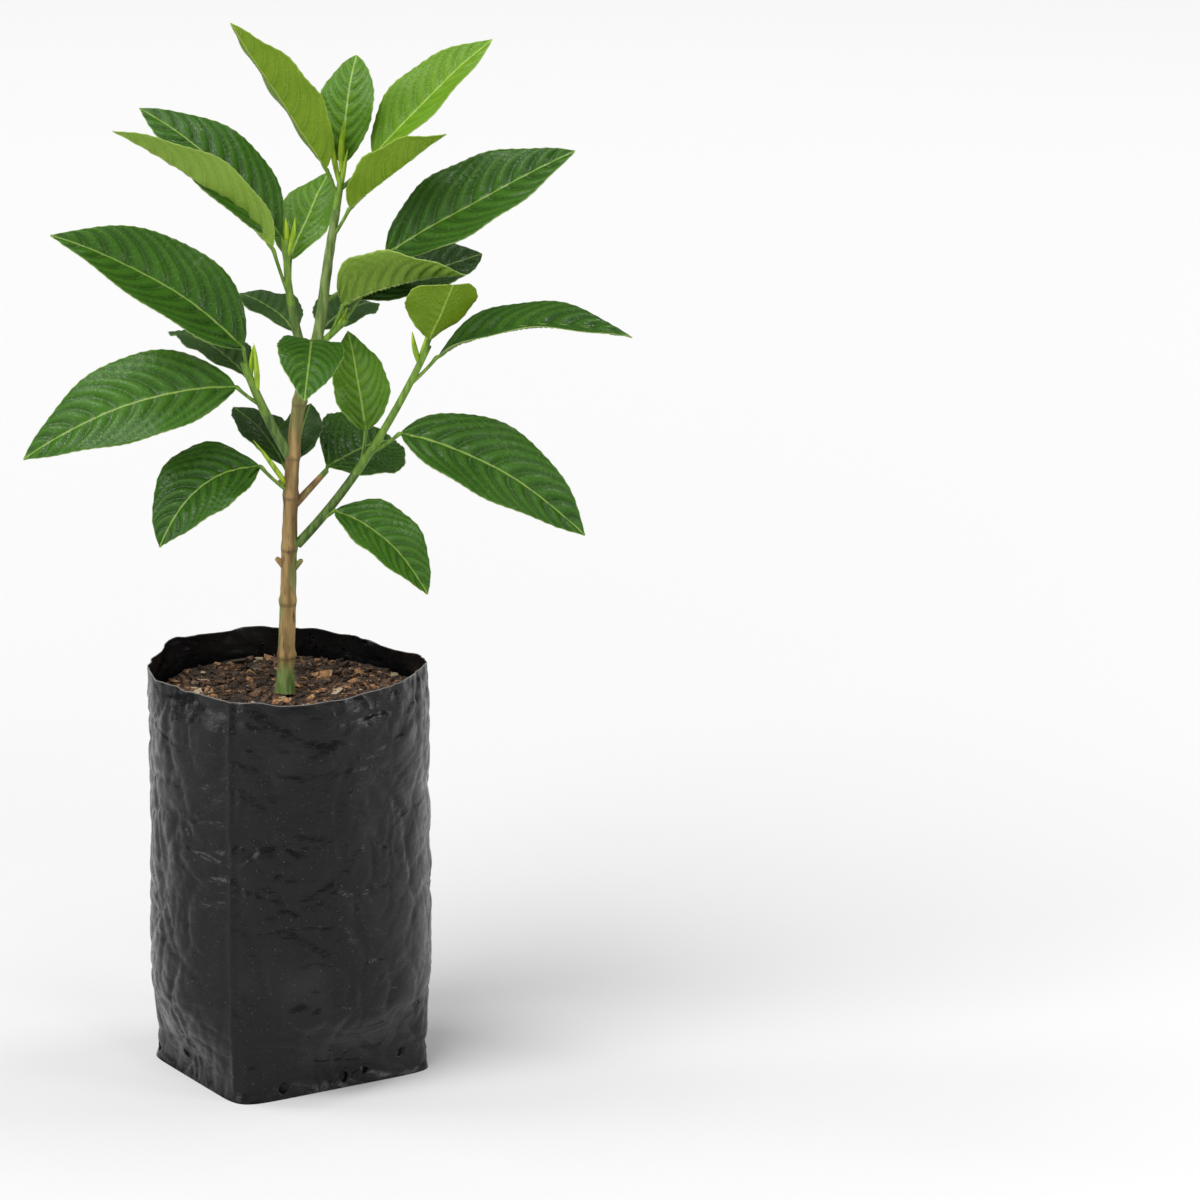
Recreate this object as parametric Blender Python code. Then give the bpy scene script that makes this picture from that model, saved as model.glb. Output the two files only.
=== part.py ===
"""A young orange tree in a black polythene nursery bag, as closed solids.

Metres, +Z up. The origin is the middle of the bag's flat underside, +X is the
right of the plant as it is usually seen and +Y points away from the viewer.
Run it with: blender --background --python part.py
"""
import math
import random
from dataclasses import dataclass

import bmesh
import bpy
from mathutils import Matrix, Vector

MM = 0.001
GAP = 0.3 * MM          # clearance between neighbouring solids

# Bag: a polythene tube 205 mm wide laid flat, opened and filled
BAG_RADIUS = 65.5 * MM
BAG_HEIGHT = 195 * MM
BAG_WALL = 1.2 * MM
BASE_RADIUS = 70 * MM                     # from the middle to a folded corner
BASE_CORNERS = (-9.5, 72.0, 169.5, 252.0)  # headings of the four folded corners
CORNER_SOFTNESS = 9                      # higher is a sharper corner
BASE_FLAT = 5 * MM                        # height over which the base stays square
BASE_FADE = 46 * MM                       # height at which the bag is round
FOLD_HEADINGS = (2.0, 177.0)              # creases of the tube as it was laid flat
FOLD_LIFT = 1.0 * MM
RIM_WAVES = ((44.0, -4.2 * MM, 30.0), (158.0, 2.8 * MM, 30.0), (338.0, 2.0 * MM, 40.0))
BAG_COLUMNS = 60
BAG_ROWS = (0.0, 2.5, 10, 20, 33, 47, 80, 120, 160)   # heights in mm, below the rim
DRAIN_HOLES = ((175.0, 5.5 * MM), (268.0, 5.0 * MM), (337.0, 12.5 * MM), (205.0, 12.0 * MM),
               (305.0, 5.0 * MM), (25.0, 6.0 * MM), (95.0, 12.0 * MM), (140.0, 6.0 * MM))
DRAIN_RADIUS = 2.3 * MM

# Potting mix
SOIL_HEIGHT = 181.2 * MM
SOIL_HOLLOW = 1.6 * MM
SOIL_SLACK = 0.2 * MM

# Trunk: bends of its middle line, from the soil to the top bud
TRUNK_BENDS = ((-1.3, 0, 181.5), (0.5, 0, 226), (3.0, 0, 290), (7.5, 0, 325),
               (15.5, 0, 352.6), (20.8, 0, 390), (27.4, 0, 430))
TRUNK_FOOT_RADIUS = 4.0 * MM
TRUNK_TIP_RADIUS = 1.2 * MM
TRUNK_FLARE = 0.9 * MM
FLARE_HEIGHT = 9 * MM
TRUNK_TOP = 233 * MM                      # length of bare trunk below the top tuft
TRUNK_NODES = (18, 44, 70, 95, 114, 140)  # old leaf scars, mm above the soil
NODE_SWELLING = 0.45 * MM
TRUNK_TAPER = 0.55

# Leaf blade
BLADE_FULLNESS = 1.65
BLADE_ROWS = 8
BLADE_COLUMNS = 4
BLADE_TIP = 0.5 * MM
STALK_RADIUS = 0.95 * MM
STALK_SINK = 4 * MM
LIMB_SIDES = 10
STALK_SIDES = 6
BUD_SEED = 11


@dataclass(frozen=True)
class Shoot:
    """A side shoot: foot, tip and bow of its middle line in mm, and its bare length."""

    foot: tuple
    tip: tuple
    bow: tuple
    foot_radius: float
    tip_radius: float
    bare: float


@dataclass(frozen=True)
class Leaf:
    """One leaf: where it springs from and how its blade lies, in mm and degrees."""

    shoot: str
    at: float
    heading: float
    stalk: float
    stalk_rise: float
    rise: float
    length: float
    width: float
    arch: float = 0.08
    roll: float = 0.0
    fold: float = 12.0
    sweep: float = 0.0
    wide: float = 0.45
    turn: float = 0.0


@dataclass(frozen=True)
class Bud:
    """A slender bud or unopened leaf standing in the angle of a stalk."""

    shoot: str
    at: float
    heading: float
    rise: float
    length: float


SHOOTS = {
    "left_low": Shoot((2.5, 0, 294), (-18.5, -9, 342), (-0.5, 0, -2.0), 2.7, 1.7, 25),
    "left_high": Shoot((9.0, 0, 342), (1.6, -8, 400), (-2.2, 0, 0), 2.4, 1.3, 27),
    "right": Shoot((4.5, 0, 252), (66.5, -13, 351), (2.0, 0, -5.5), 2.3, 1.5, 46),
    "right_spur": Shoot((3.5, 0, 271), (18.8, 8, 286), (0, 0, 0), 1.9, 1.3, 19),
    "centre_right": Shoot((15.5, 0, 347.5), (29.0, -5, 361), (0, 0, 0), 1.7, 1.3, 5.5),
}

MASSES = {
    "crown_tip": (
        Leaf("trunk", 239, 208, 15, 66, 57, 87, 36, arch=0.0, roll=20, fold=32, wide=0.48),
        Leaf("trunk", 246, 76, 8, 60, 62, 52, 27, arch=0.12, fold=8, wide=0.52),
        Leaf("trunk", 242, 12, 22, 44, 43, 76, 34, arch=0.03, roll=30, fold=24),
    ),
    "upper_right": (
        Leaf("trunk", 219, 335, 18, 58, 39, 63, 31, arch=0.02, roll=-22, fold=35),
    ),
    "right_high": (
        Leaf("trunk", 188, 1, 37, 38, 29, 99, 44, arch=0.02, roll=40, fold=20, turn=4),
    ),
    "centre_right": (
        Leaf("centre_right", 8, 338, 17, 66, 18, 64, 46, arch=0.05, roll=-30, fold=32, wide=0.35),
        Leaf("centre_right", 16, 29, 14, 52, 12, 66, 30, arch=0.03, roll=30, wide=0.55),
    ),
    "back_right": (
        Leaf("trunk", 170, 66, 7, 35, 0, 54, 28, arch=0.06, roll=10),
    ),
    "right_shoot": (
        Leaf("right", 114, 295, 9, 57, 50, 42, 36, arch=0.0, fold=20, roll=-10, wide=0.6),
        Leaf("right", 97, 355, 19, 46, 7, 90, 36, arch=0.12, roll=8, fold=18),
        Leaf("right", 51, 116, 16, 72, 66, 47, 29, arch=0.03, turn=-50),
        Leaf("right", 58, 349, 18, 35, -27, 97, 44, arch=0.06, roll=35, sweep=-0.05),
    ),
    "right_low": (
        Leaf("right", 17, 333, 10, 35, -35, 59, 33, arch=0.08, roll=25, fold=20, sweep=-0.06),
    ),
    "right_spur": (
        Leaf("right_spur", 22, 62, 3, 44, -2, 62, 44, arch=0.06, roll=32),
    ),
    "left_low": (
        Leaf("left_low", 47, 184, 13, 80, 32, 103, 46, arch=0.04, roll=-45, fold=24,
             sweep=0.05, wide=0.42, turn=15),
        Leaf("left_low", 40, 126, 8, 34, 6, 64, 30),
        Leaf("left_low", 30, 186, 16, 39, -18, 103, 46, arch=0.09, roll=-45, sweep=0.04,
             wide=0.43, turn=13),
    ),
    "left_high": (
        Leaf("left_high", 44, 169, 16, 80, 41, 87, 38, arch=0.10, roll=-35),
        Leaf("left_high", 30, 200, 27, 69, 39, 97, 34, arch=0.05, roll=25, fold=35, turn=18),
        Leaf("left_high", 32, 62, 16, 68, 42, 50, 30, arch=0.03, turn=28),
    ),
    "back_left": (
        Leaf("left_high", 10, 122, 5, 31, 6, 54, 28),
    ),
    "front": (
        Leaf("trunk", 163, 268, 13, 45, -17, 52, 32, arch=0.12, roll=-8),
    ),
    "back_low_left": (
        Leaf("trunk", 102, 124, 9, 43, 22, 47, 26),
    ),
    "back_low": (
        Leaf("trunk", 108, 75, 5, 30, 38, 33, 21, arch=0.05),
    ),
    "low_left": (
        Leaf("trunk", 96, 210, 22, 43, -31, 61, 41, arch=0.14, roll=-30, sweep=0.10),
    ),
}

BUDS = {
    "crown_tip": (
        Bud("trunk", 244, 150, 80, 30), Bud("trunk", 250, 300, 82, 26),
        Bud("trunk", 238, 340, 78, 24), Bud("trunk", 252, 60, 84, 20),
    ),
    "left_high": (
        Bud("left_high", 54, 100, 82, 15), Bud("left_high", 50, 330, 76, 20),
        Bud("left_high", 46, 220, 78, 14),
    ),
    "left_low": (
        Bud("left_low", 36, 250, 80, 26), Bud("left_low", 44, 20, 84, 16),
    ),
    "low_left": (
        Bud("trunk", 96.5, 211, 55, 33),
    ),
    "right_shoot": (
        Bud("right", 104, 10, 74, 20), Bud("right", 108, 200, 78, 16),
        Bud("right", 60, 350, 50, 9),
    ),
    "centre_right": (
        Bud("centre_right", 12, 10, 62, 12),
    ),
}

COLOURS = {
    "bag": ((0.012, 0.013, 0.016, 1), 0.32),
    "soil": ((0.045, 0.024, 0.014, 1), 0.95),
    "bark": ((0.28, 0.19, 0.11, 1), 0.75),
    "green_stem": ((0.09, 0.20, 0.03, 1), 0.5),
    "young_leaf": ((0.22, 0.42, 0.02, 1), 0.4),
    "leaf": ((0.03, 0.17, 0.02, 1), 0.3),
}
YOUNG_MASSES = ("crown_tip", "upper_right")


def clear_scene():
    """Remove the objects that the scene starts with."""
    for thing in list(bpy.data.objects):
        bpy.data.objects.remove(thing, do_unlink=True)


def material(name, kind):
    """A Principled material of one of the named kinds."""
    colour, roughness = COLOURS[kind]
    made = bpy.data.materials.new(name)
    made.use_nodes = True
    shader = made.node_tree.nodes["Principled BSDF"]
    shader.inputs["Base Color"].default_value = colour
    shader.inputs["Roughness"].default_value = roughness
    shader.inputs["Metallic"].default_value = 0.0
    return made


def object_from(bm, name):
    """Turn a closed bmesh into an object in the scene, its faces pointing outwards."""
    bmesh.ops.recalc_face_normals(bm, faces=bm.faces)
    if bm.calc_volume(signed=True) < 0:
        bmesh.ops.reverse_faces(bm, faces=bm.faces)
    mesh = bpy.data.meshes.new(name)
    bm.to_mesh(mesh)
    bm.free()
    made = bpy.data.objects.new(name, mesh)
    bpy.context.scene.collection.objects.link(made)
    return made


def finished(made, kind, sharp=35):
    """Give a solid its material and smooth its rounds."""
    made.data.materials.clear()
    made.data.materials.append(material(made.name, kind))
    made.data.shade_smooth()
    made.data.set_sharp_from_angle(angle=math.radians(sharp))
    return made


class Path:
    """A smooth line through points, read by the distance along it in mm."""

    SAMPLES = 160

    def __init__(self, place):
        self.points = [place(i / self.SAMPLES) for i in range(self.SAMPLES + 1)]
        self.marks = [0.0]
        for a, b in zip(self.points, self.points[1:]):
            self.marks.append(self.marks[-1] + (b - a).length)

    @property
    def length(self):
        """Whole length in mm."""
        return self.marks[-1]

    def at(self, distance):
        """The point this far along, in mm; past the end it runs straight on."""
        for i in range(1, len(self.marks)):
            if distance <= self.marks[i] or i == len(self.marks) - 1:
                part = (distance - self.marks[i - 1]) / (self.marks[i] - self.marks[i - 1])
                return self.points[i - 1].lerp(self.points[i], part) if part <= 1 else (
                    self.points[i] + (self.points[i] - self.points[i - 1]) * (part - 1))


def through(bends):
    """A function from 0..1 to a point on a Catmull-Rom line through the bends."""
    knots = [Vector(bend) for bend in bends]
    last = len(knots) - 1

    def place(t):
        i = min(int(t * last), last - 1)
        f = t * last - i
        a, b = knots[max(i - 1, 0)], knots[i]
        c, d = knots[i + 1], knots[min(i + 2, last)]
        return 0.5 * (2 * b + (c - a) * f + (2 * a - 5 * b + 4 * c - d) * f ** 2
                      + (3 * b - a - 3 * c + d) * f ** 3)
    return place


def bowed(shoot):
    """A function from 0..1 to a point on a shoot's bowed line."""
    foot, tip, bow = Vector(shoot.foot), Vector(shoot.tip), Vector(shoot.bow)
    return lambda t: foot.lerp(tip, t) + bow * (4 * t * (1 - t))


PATHS = {"trunk": Path(through(TRUNK_BENDS))}
PATHS.update({name: Path(bowed(shoot)) for name, shoot in SHOOTS.items()})


def limb_radius(name, distance):
    """Radius in metres of the trunk or a shoot, this many mm along it."""
    if name == "trunk":
        t = min(max(distance / PATHS["trunk"].length, 0.0), 1.0)
        radius = TRUNK_TIP_RADIUS + (TRUNK_FOOT_RADIUS - TRUNK_TIP_RADIUS) * (1 - t) ** TRUNK_TAPER
        radius += TRUNK_FLARE * math.exp(-distance * MM / (FLARE_HEIGHT / 2))
        for node in TRUNK_NODES:
            radius += NODE_SWELLING * math.exp(-((distance - node) / 2.2) ** 2)
        return radius
    shoot = SHOOTS[name]
    t = min(distance / PATHS[name].length, 1.0)
    return (shoot.foot_radius + (shoot.tip_radius - shoot.foot_radius) * t) * MM


def tube(name, points, radii, sides):
    """A closed tapering tube through points in metres, from a bevelled curve."""
    curve = bpy.data.curves.new(name, "CURVE")
    curve.dimensions = "3D"
    curve.bevel_depth = 1.0
    curve.bevel_resolution = (sides - 4) // 2
    curve.use_fill_caps = True
    curve.twist_mode = "MINIMUM"
    line = curve.splines.new("POLY")
    line.points.add(len(points) - 1)
    for knot, point, radius in zip(line.points, points, radii):
        knot.co = (*point, 1.0)
        knot.radius = radius
    holder = bpy.data.objects.new(name, curve)
    bpy.context.scene.collection.objects.link(holder)
    graph = bpy.context.evaluated_depsgraph_get()
    mesh = bpy.data.meshes.new_from_object(holder.evaluated_get(graph))
    bpy.data.objects.remove(holder)
    bm = bmesh.new()
    bm.from_mesh(mesh)
    bmesh.ops.remove_doubles(bm, verts=bm.verts, dist=1e-6)
    return object_from(bm, name)


def limb_tube(name, start, end, spare=0.0, sides=LIMB_SIDES):
    """A stretch of the trunk or a shoot as a tube, spare metres larger all round."""
    count = max(3, round((end - start) / 9))
    stops = {start + (end - start) * i / count for i in range(count + 1)}
    if name == "trunk":
        for node in TRUNK_NODES:
            stops.update((node - 3.0, node, node + 3.0))
        stops.update((1.5, 4.0))
    stops = sorted(stop for stop in stops if start <= stop <= end)
    points = [PATHS[name].at(stop) * MM for stop in stops]
    grown = spare / math.cos(math.pi / sides)
    radii = [limb_radius(name, stop) + grown for stop in stops]
    return tube(name, points, radii, sides)


def direction(heading, rise):
    """Unit vector for a compass heading and a rise above level, in degrees."""
    heading, rise = math.radians(heading), math.radians(rise)
    return Vector((math.cos(rise) * math.cos(heading), math.cos(rise) * math.sin(heading),
                   math.sin(rise)))


def leaf_foot(leaf):
    """The point in mm on the limb's middle line from which a leaf's stalk springs."""
    return PATHS[leaf.shoot].at(leaf.at)


def blade_base(leaf):
    """The point in mm where a leaf's stalk ends and its blade starts."""
    return leaf_foot(leaf) + direction(leaf.heading + leaf.turn, leaf.stalk_rise) * leaf.stalk


def half_width(leaf, u):
    """Half the blade's width in mm at the fraction u of its length."""
    if not 0 < u < 1:
        return 0.0
    rising = (u / leaf.wide) ** (BLADE_FULLNESS * leaf.wide)
    falling = ((1 - u) / (1 - leaf.wide)) ** (BLADE_FULLNESS * (1 - leaf.wide))
    return leaf.width / 2 * rising * falling


def blade_frame(leaf, u):
    """Midrib point in mm, with the blade's sideways and upward directions there."""
    base = blade_base(leaf)
    chord = direction(leaf.heading, leaf.rise)
    side = chord.cross(Vector((0, 0, 1))).normalized()
    side = Matrix.Rotation(math.radians(leaf.roll), 3, chord) @ side
    up = side.cross(chord)
    tip = base + chord * leaf.length
    crown = base + (chord * 0.45 + up * 2 * leaf.arch + side * 2 * leaf.sweep) * leaf.length
    point = base * (1 - u) ** 2 + crown * (2 * u * (1 - u)) + tip * u ** 2
    along = ((crown - base) * (1 - u) + (tip - crown) * u).normalized()
    side = (side - along * side.dot(along)).normalized()
    return point, side, side.cross(along)


def blade(leaf, name):
    """The blade as a thin solid: a grid laid along the midrib, then thickened."""
    thickness = max(0.8, leaf.length * 0.0105) * MM
    fold = math.radians(leaf.fold)
    bm = bmesh.new()
    bmesh.ops.create_grid(bm, x_segments=BLADE_ROWS, y_segments=BLADE_COLUMNS, size=1.0)
    for vert in bm.verts:
        u = (vert.co.x + 1) / 2
        across = vert.co.y
        point, side, up = blade_frame(leaf, u)
        reach = max(half_width(leaf, u), BLADE_TIP / MM) * across
        lift = abs(reach) * math.sin(fold)
        vert.co = (point + side * reach * math.cos(fold) + up * lift) * MM
    bm.normal_update()
    _, _, up = blade_frame(leaf, 0.5)
    if sum(face.normal.dot(up) for face in bm.faces) < 0:
        bmesh.ops.reverse_faces(bm, faces=bm.faces)
    bmesh.ops.solidify(bm, geom=bm.faces[:], thickness=thickness)
    return object_from(bm, name)


def stalk(leaf, name):
    """The leaf's stalk, from inside its limb to inside its blade."""
    foot, base = leaf_foot(leaf), blade_base(leaf)
    point, _, up = blade_frame(leaf, STALK_SINK / MM / leaf.length)
    inside = point - up * 0.45
    stops = (foot, foot.lerp(base, 0.5) + Vector((0, 0, -0.04 * leaf.stalk)), base - up * 0.45, inside)
    radii = (1.25 * STALK_RADIUS, 0.95 * STALK_RADIUS, 1.05 * STALK_RADIUS, 0.6 * STALK_RADIUS)
    return tube(name, [stop * MM for stop in stops], radii, STALK_SIDES)


def bud(spec, name, rng):
    """A slender bud, from inside its limb, with a little seeded lean."""
    foot = PATHS[spec.shoot].at(spec.at)
    lean = direction(spec.heading + rng.uniform(-8, 8), spec.rise)
    stops = [foot + lean * spec.length * part for part in (0.0, 0.35, 0.7, 1.0)]
    radii = [0.9 * MM, 1.0 * MM, 0.75 * MM, 0.3 * MM]
    return tube(name, [stop * MM for stop in stops], radii, STALK_SIDES)


def combine(body, others, operation):
    """Apply one Boolean with a collection of other solids, which then go."""
    if not others:
        return body
    helpers = bpy.data.collections.new(body.name + "_others")
    bpy.context.scene.collection.children.link(helpers)
    for other in others:
        helpers.objects.link(other)
    boolean = body.modifiers.new(operation.lower(), "BOOLEAN")
    boolean.operation = operation
    boolean.operand_type = "COLLECTION"
    boolean.collection = helpers
    boolean.solver = "EXACT"
    graph = bpy.context.evaluated_depsgraph_get()
    mesh = bpy.data.meshes.new_from_object(body.evaluated_get(graph))
    body.modifiers.clear()
    old = body.data
    body.data = mesh
    bpy.data.meshes.remove(old)
    for other in others:
        bpy.data.objects.remove(other, do_unlink=True)
    bpy.data.collections.remove(helpers)
    return body


def weld(made, distance=2e-6):
    """Merge points that a Boolean left on top of each other."""
    bm = bmesh.new()
    bm.from_mesh(made.data)
    bmesh.ops.remove_doubles(bm, verts=bm.verts, dist=distance)
    bmesh.ops.dissolve_degenerate(bm, edges=bm.edges, dist=1e-7)
    bm.to_mesh(made.data)
    bm.free()
    return made


def corner_reach(heading):
    """Distance from the middle to the square base's edge in a direction."""
    reach = 0.0
    corners = [math.radians(corner) for corner in BASE_CORNERS]
    for a, b in zip(corners, corners[1:] + [corners[0] + 2 * math.pi]):
        middle, half = (a + b) / 2, (b - a) / 2
        facing = math.cos(heading - middle)
        reach += max(facing / (BASE_RADIUS * math.cos(half)), 0.0) ** CORNER_SOFTNESS
    return reach ** (-1 / CORNER_SOFTNESS)


def bag_reach(heading, height):
    """Outer radius of the bag at a heading in radians and a height in metres."""
    fade = min(max((height - BASE_FLAT) / (BASE_FADE - BASE_FLAT), 0.0), 1.0)
    fade = fade * fade * (3 - 2 * fade)
    reach = corner_reach(heading) * (1 - fade) + BAG_RADIUS * fade
    for fold in FOLD_HEADINGS:
        off = math.remainder(heading - math.radians(fold), 2 * math.pi)
        reach += FOLD_LIFT * fade * math.exp(-(off / 0.10) ** 2)
    return reach


def rim_height(heading):
    """Height of the cut rim at a heading in radians."""
    height = BAG_HEIGHT
    for middle, lift, spread in RIM_WAVES:
        off = math.remainder(heading - math.radians(middle), 2 * math.pi)
        height += lift * math.exp(-(off / math.radians(spread)) ** 2)
    return height


def ring_point(heading, height, inset):
    """A point of the bag's wall, inset metres inside its outer face."""
    reach = bag_reach(heading, height) - inset
    return Vector((reach * math.cos(heading), reach * math.sin(heading), height))


def rolled(name, rows, place):
    """A grid rolled round the bag's axis, its ends filled and its quads cut the short way."""
    bm = bmesh.new()
    bmesh.ops.create_grid(bm, x_segments=BAG_COLUMNS, y_segments=rows, size=1.0)
    for vert in bm.verts:
        turn = (vert.co.x + 1) / 2
        row = round((vert.co.y + 1) / 2 * rows)
        vert.co = place(turn * 2 * math.pi, row)
    bmesh.ops.remove_doubles(bm, verts=bm.verts, dist=1e-5)
    bmesh.ops.holes_fill(bm, edges=bm.edges, sides=0)
    bmesh.ops.triangulate(bm, faces=bm.faces, quad_method="SHORT_EDGE")
    return object_from(bm, name)


def build_bag():
    """The bag: a thin wall with a folded square base, a wavy rim and drain holes."""
    last = len(BAG_ROWS)

    def place(heading, row):
        inset = BAG_WALL if row > last else 0.0
        level = min(row, 2 * last + 1 - row)
        height = rim_height(heading) if level == last else BAG_ROWS[level] * MM
        return ring_point(heading, max(height, inset), inset)

    bag = rolled("grow_bag", 2 * last + 1, place)
    cutters = []
    for number, (heading, height) in enumerate(DRAIN_HOLES):
        turn = math.radians(heading)
        middle = ring_point(turn, height, BAG_WALL / 2)
        bm = bmesh.new()
        facing = Matrix.Rotation(turn, 4, "Z") @ Matrix.Rotation(math.pi / 2, 4, "Y")
        bmesh.ops.create_cone(bm, cap_ends=True, segments=10, radius1=DRAIN_RADIUS,
                              radius2=DRAIN_RADIUS, depth=8 * MM,
                              matrix=Matrix.Translation(middle) @ facing)
        cutters.append(object_from(bm, f"drain_{number}"))
    return finished(weld(combine(bag, cutters, "DIFFERENCE")), "bag")


def build_soil():
    """The potting mix that fills the bag, hollowed a little on top."""
    floor = BAG_WALL + GAP
    inset = floor + SOIL_SLACK
    heights = (floor, *(row * MM for row in BAG_ROWS if row * MM > floor), SOIL_HEIGHT)
    shrinks = (0.72, 0.42, 0.14)

    def place(heading, row):
        if row < len(heights):
            return ring_point(heading, heights[row], inset)
        shrink = shrinks[row - len(heights)]
        rim = ring_point(heading, SOIL_HEIGHT, inset)
        hollow = SOIL_HOLLOW * math.sin(math.pi * shrink) * (1 + 0.5 * math.sin(3 * heading))
        return Vector((rim.x * shrink, rim.y * shrink, SOIL_HEIGHT - hollow * (shrink > 0.2)))

    return finished(rolled("potting_mix", len(heights) + len(shrinks) - 1, place), "soil")


def build_limbs():
    """The trunk and the bare part of each shoot, each cut clear of the trunk."""
    trunk = finished(limb_tube("trunk", 0.0, TRUNK_TOP / MM), "bark")
    for name, shoot in SHOOTS.items():
        limb = limb_tube(name, 0.0, shoot.bare)
        limb.name = name + "_bough"
        combine(limb, [limb_tube("trunk", 0.0, TRUNK_TOP / MM, GAP)], "DIFFERENCE")
        finished(weld(limb), "bark" if name.endswith("spur") else "green_stem")
    return trunk


def stem_pieces(mass):
    """The part of its shoot that a mass grows on, from where the bough ends."""
    limbs = {leaf.shoot for leaf in MASSES[mass]}
    if mass == "crown_tip":
        return [limb_tube("trunk", TRUNK_TOP / MM + GAP / MM, PATHS["trunk"].length)]
    for name in limbs & set(SHOOTS):
        bare = SHOOTS[name].bare
        if min(leaf.at for leaf in MASSES[mass]) > bare:
            return [limb_tube(name, bare + GAP / MM, PATHS[name].length, sides=8)]
    return []


def build_mass(mass, rng):
    """One mass of foliage: its stem, stalks, blades and buds, joined."""
    pieces = stem_pieces(mass)
    grown_on = not pieces
    for number, leaf in enumerate(MASSES[mass]):
        pieces.append(stalk(leaf, f"{mass}_stalk_{number}"))
        pieces.append(blade(leaf, f"{mass}_blade_{number}"))
    for number, spec in enumerate(BUDS.get(mass, ())):
        pieces.append(bud(spec, f"{mass}_bud_{number}", rng))
    body = combine(pieces[0], pieces[1:], "UNION")
    body.name = mass + "_foliage"
    if grown_on:
        limb = MASSES[mass][0].shoot
        end = TRUNK_TOP / MM if limb == "trunk" else SHOOTS[limb].bare
        combine(body, [limb_tube(limb, 0.0, end, GAP)], "DIFFERENCE")
    kind = "young_leaf" if mass in YOUNG_MASSES else "leaf"
    return finished(weld(body), kind, 50)


def main():
    """Build every solid."""
    clear_scene()
    rng = random.Random(BUD_SEED)
    build_bag()
    build_soil()
    build_limbs()
    for mass in MASSES:
        build_mass(mass, rng)


main()
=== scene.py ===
"""The looks of a young orange tree in a black polythene nursery bag.

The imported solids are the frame. Every piece here grows from the same named
sizes as those solids: a trunk with side shoots, leaves with veins and a
quilted blade, a crinkled bag and a bed of bark chips. Lengths are metres
unless a name or a docstring says millimetres.
"""
from __future__ import annotations

import logging
import math
import random
from dataclasses import dataclass
from enum import Enum
from typing import Callable

import bmesh
import bpy
from mathutils import Matrix, Vector, noise

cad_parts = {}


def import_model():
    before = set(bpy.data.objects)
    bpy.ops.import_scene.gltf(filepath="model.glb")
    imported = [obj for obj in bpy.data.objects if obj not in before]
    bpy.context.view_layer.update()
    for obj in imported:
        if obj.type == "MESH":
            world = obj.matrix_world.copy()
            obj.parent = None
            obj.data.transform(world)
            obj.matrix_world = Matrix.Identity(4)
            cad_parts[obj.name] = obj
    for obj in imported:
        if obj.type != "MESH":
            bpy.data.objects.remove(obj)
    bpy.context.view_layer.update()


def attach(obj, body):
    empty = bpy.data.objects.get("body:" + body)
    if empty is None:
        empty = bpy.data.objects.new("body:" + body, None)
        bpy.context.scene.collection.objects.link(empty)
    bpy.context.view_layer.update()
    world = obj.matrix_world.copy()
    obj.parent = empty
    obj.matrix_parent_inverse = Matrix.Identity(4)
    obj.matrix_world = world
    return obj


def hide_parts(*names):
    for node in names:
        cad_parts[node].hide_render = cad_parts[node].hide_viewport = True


LOG = logging.getLogger("orange_tree")
MM = 0.001
BODY = "root"
Colour = tuple[float, float, float]


class AgeAndShade(Enum):
    """How old a leaf is, which sets its colours; SHADED is no age but painted shade, darker and greyer
    colours for leaves at the back.
    """

    YOUNG = "young"
    MIDDLE = "middle"
    GROWN = "grown"
    # painted shade: darker, greyer leaf colours for leaves that sit in shade at the back
    SHADED = "shaded"


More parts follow.
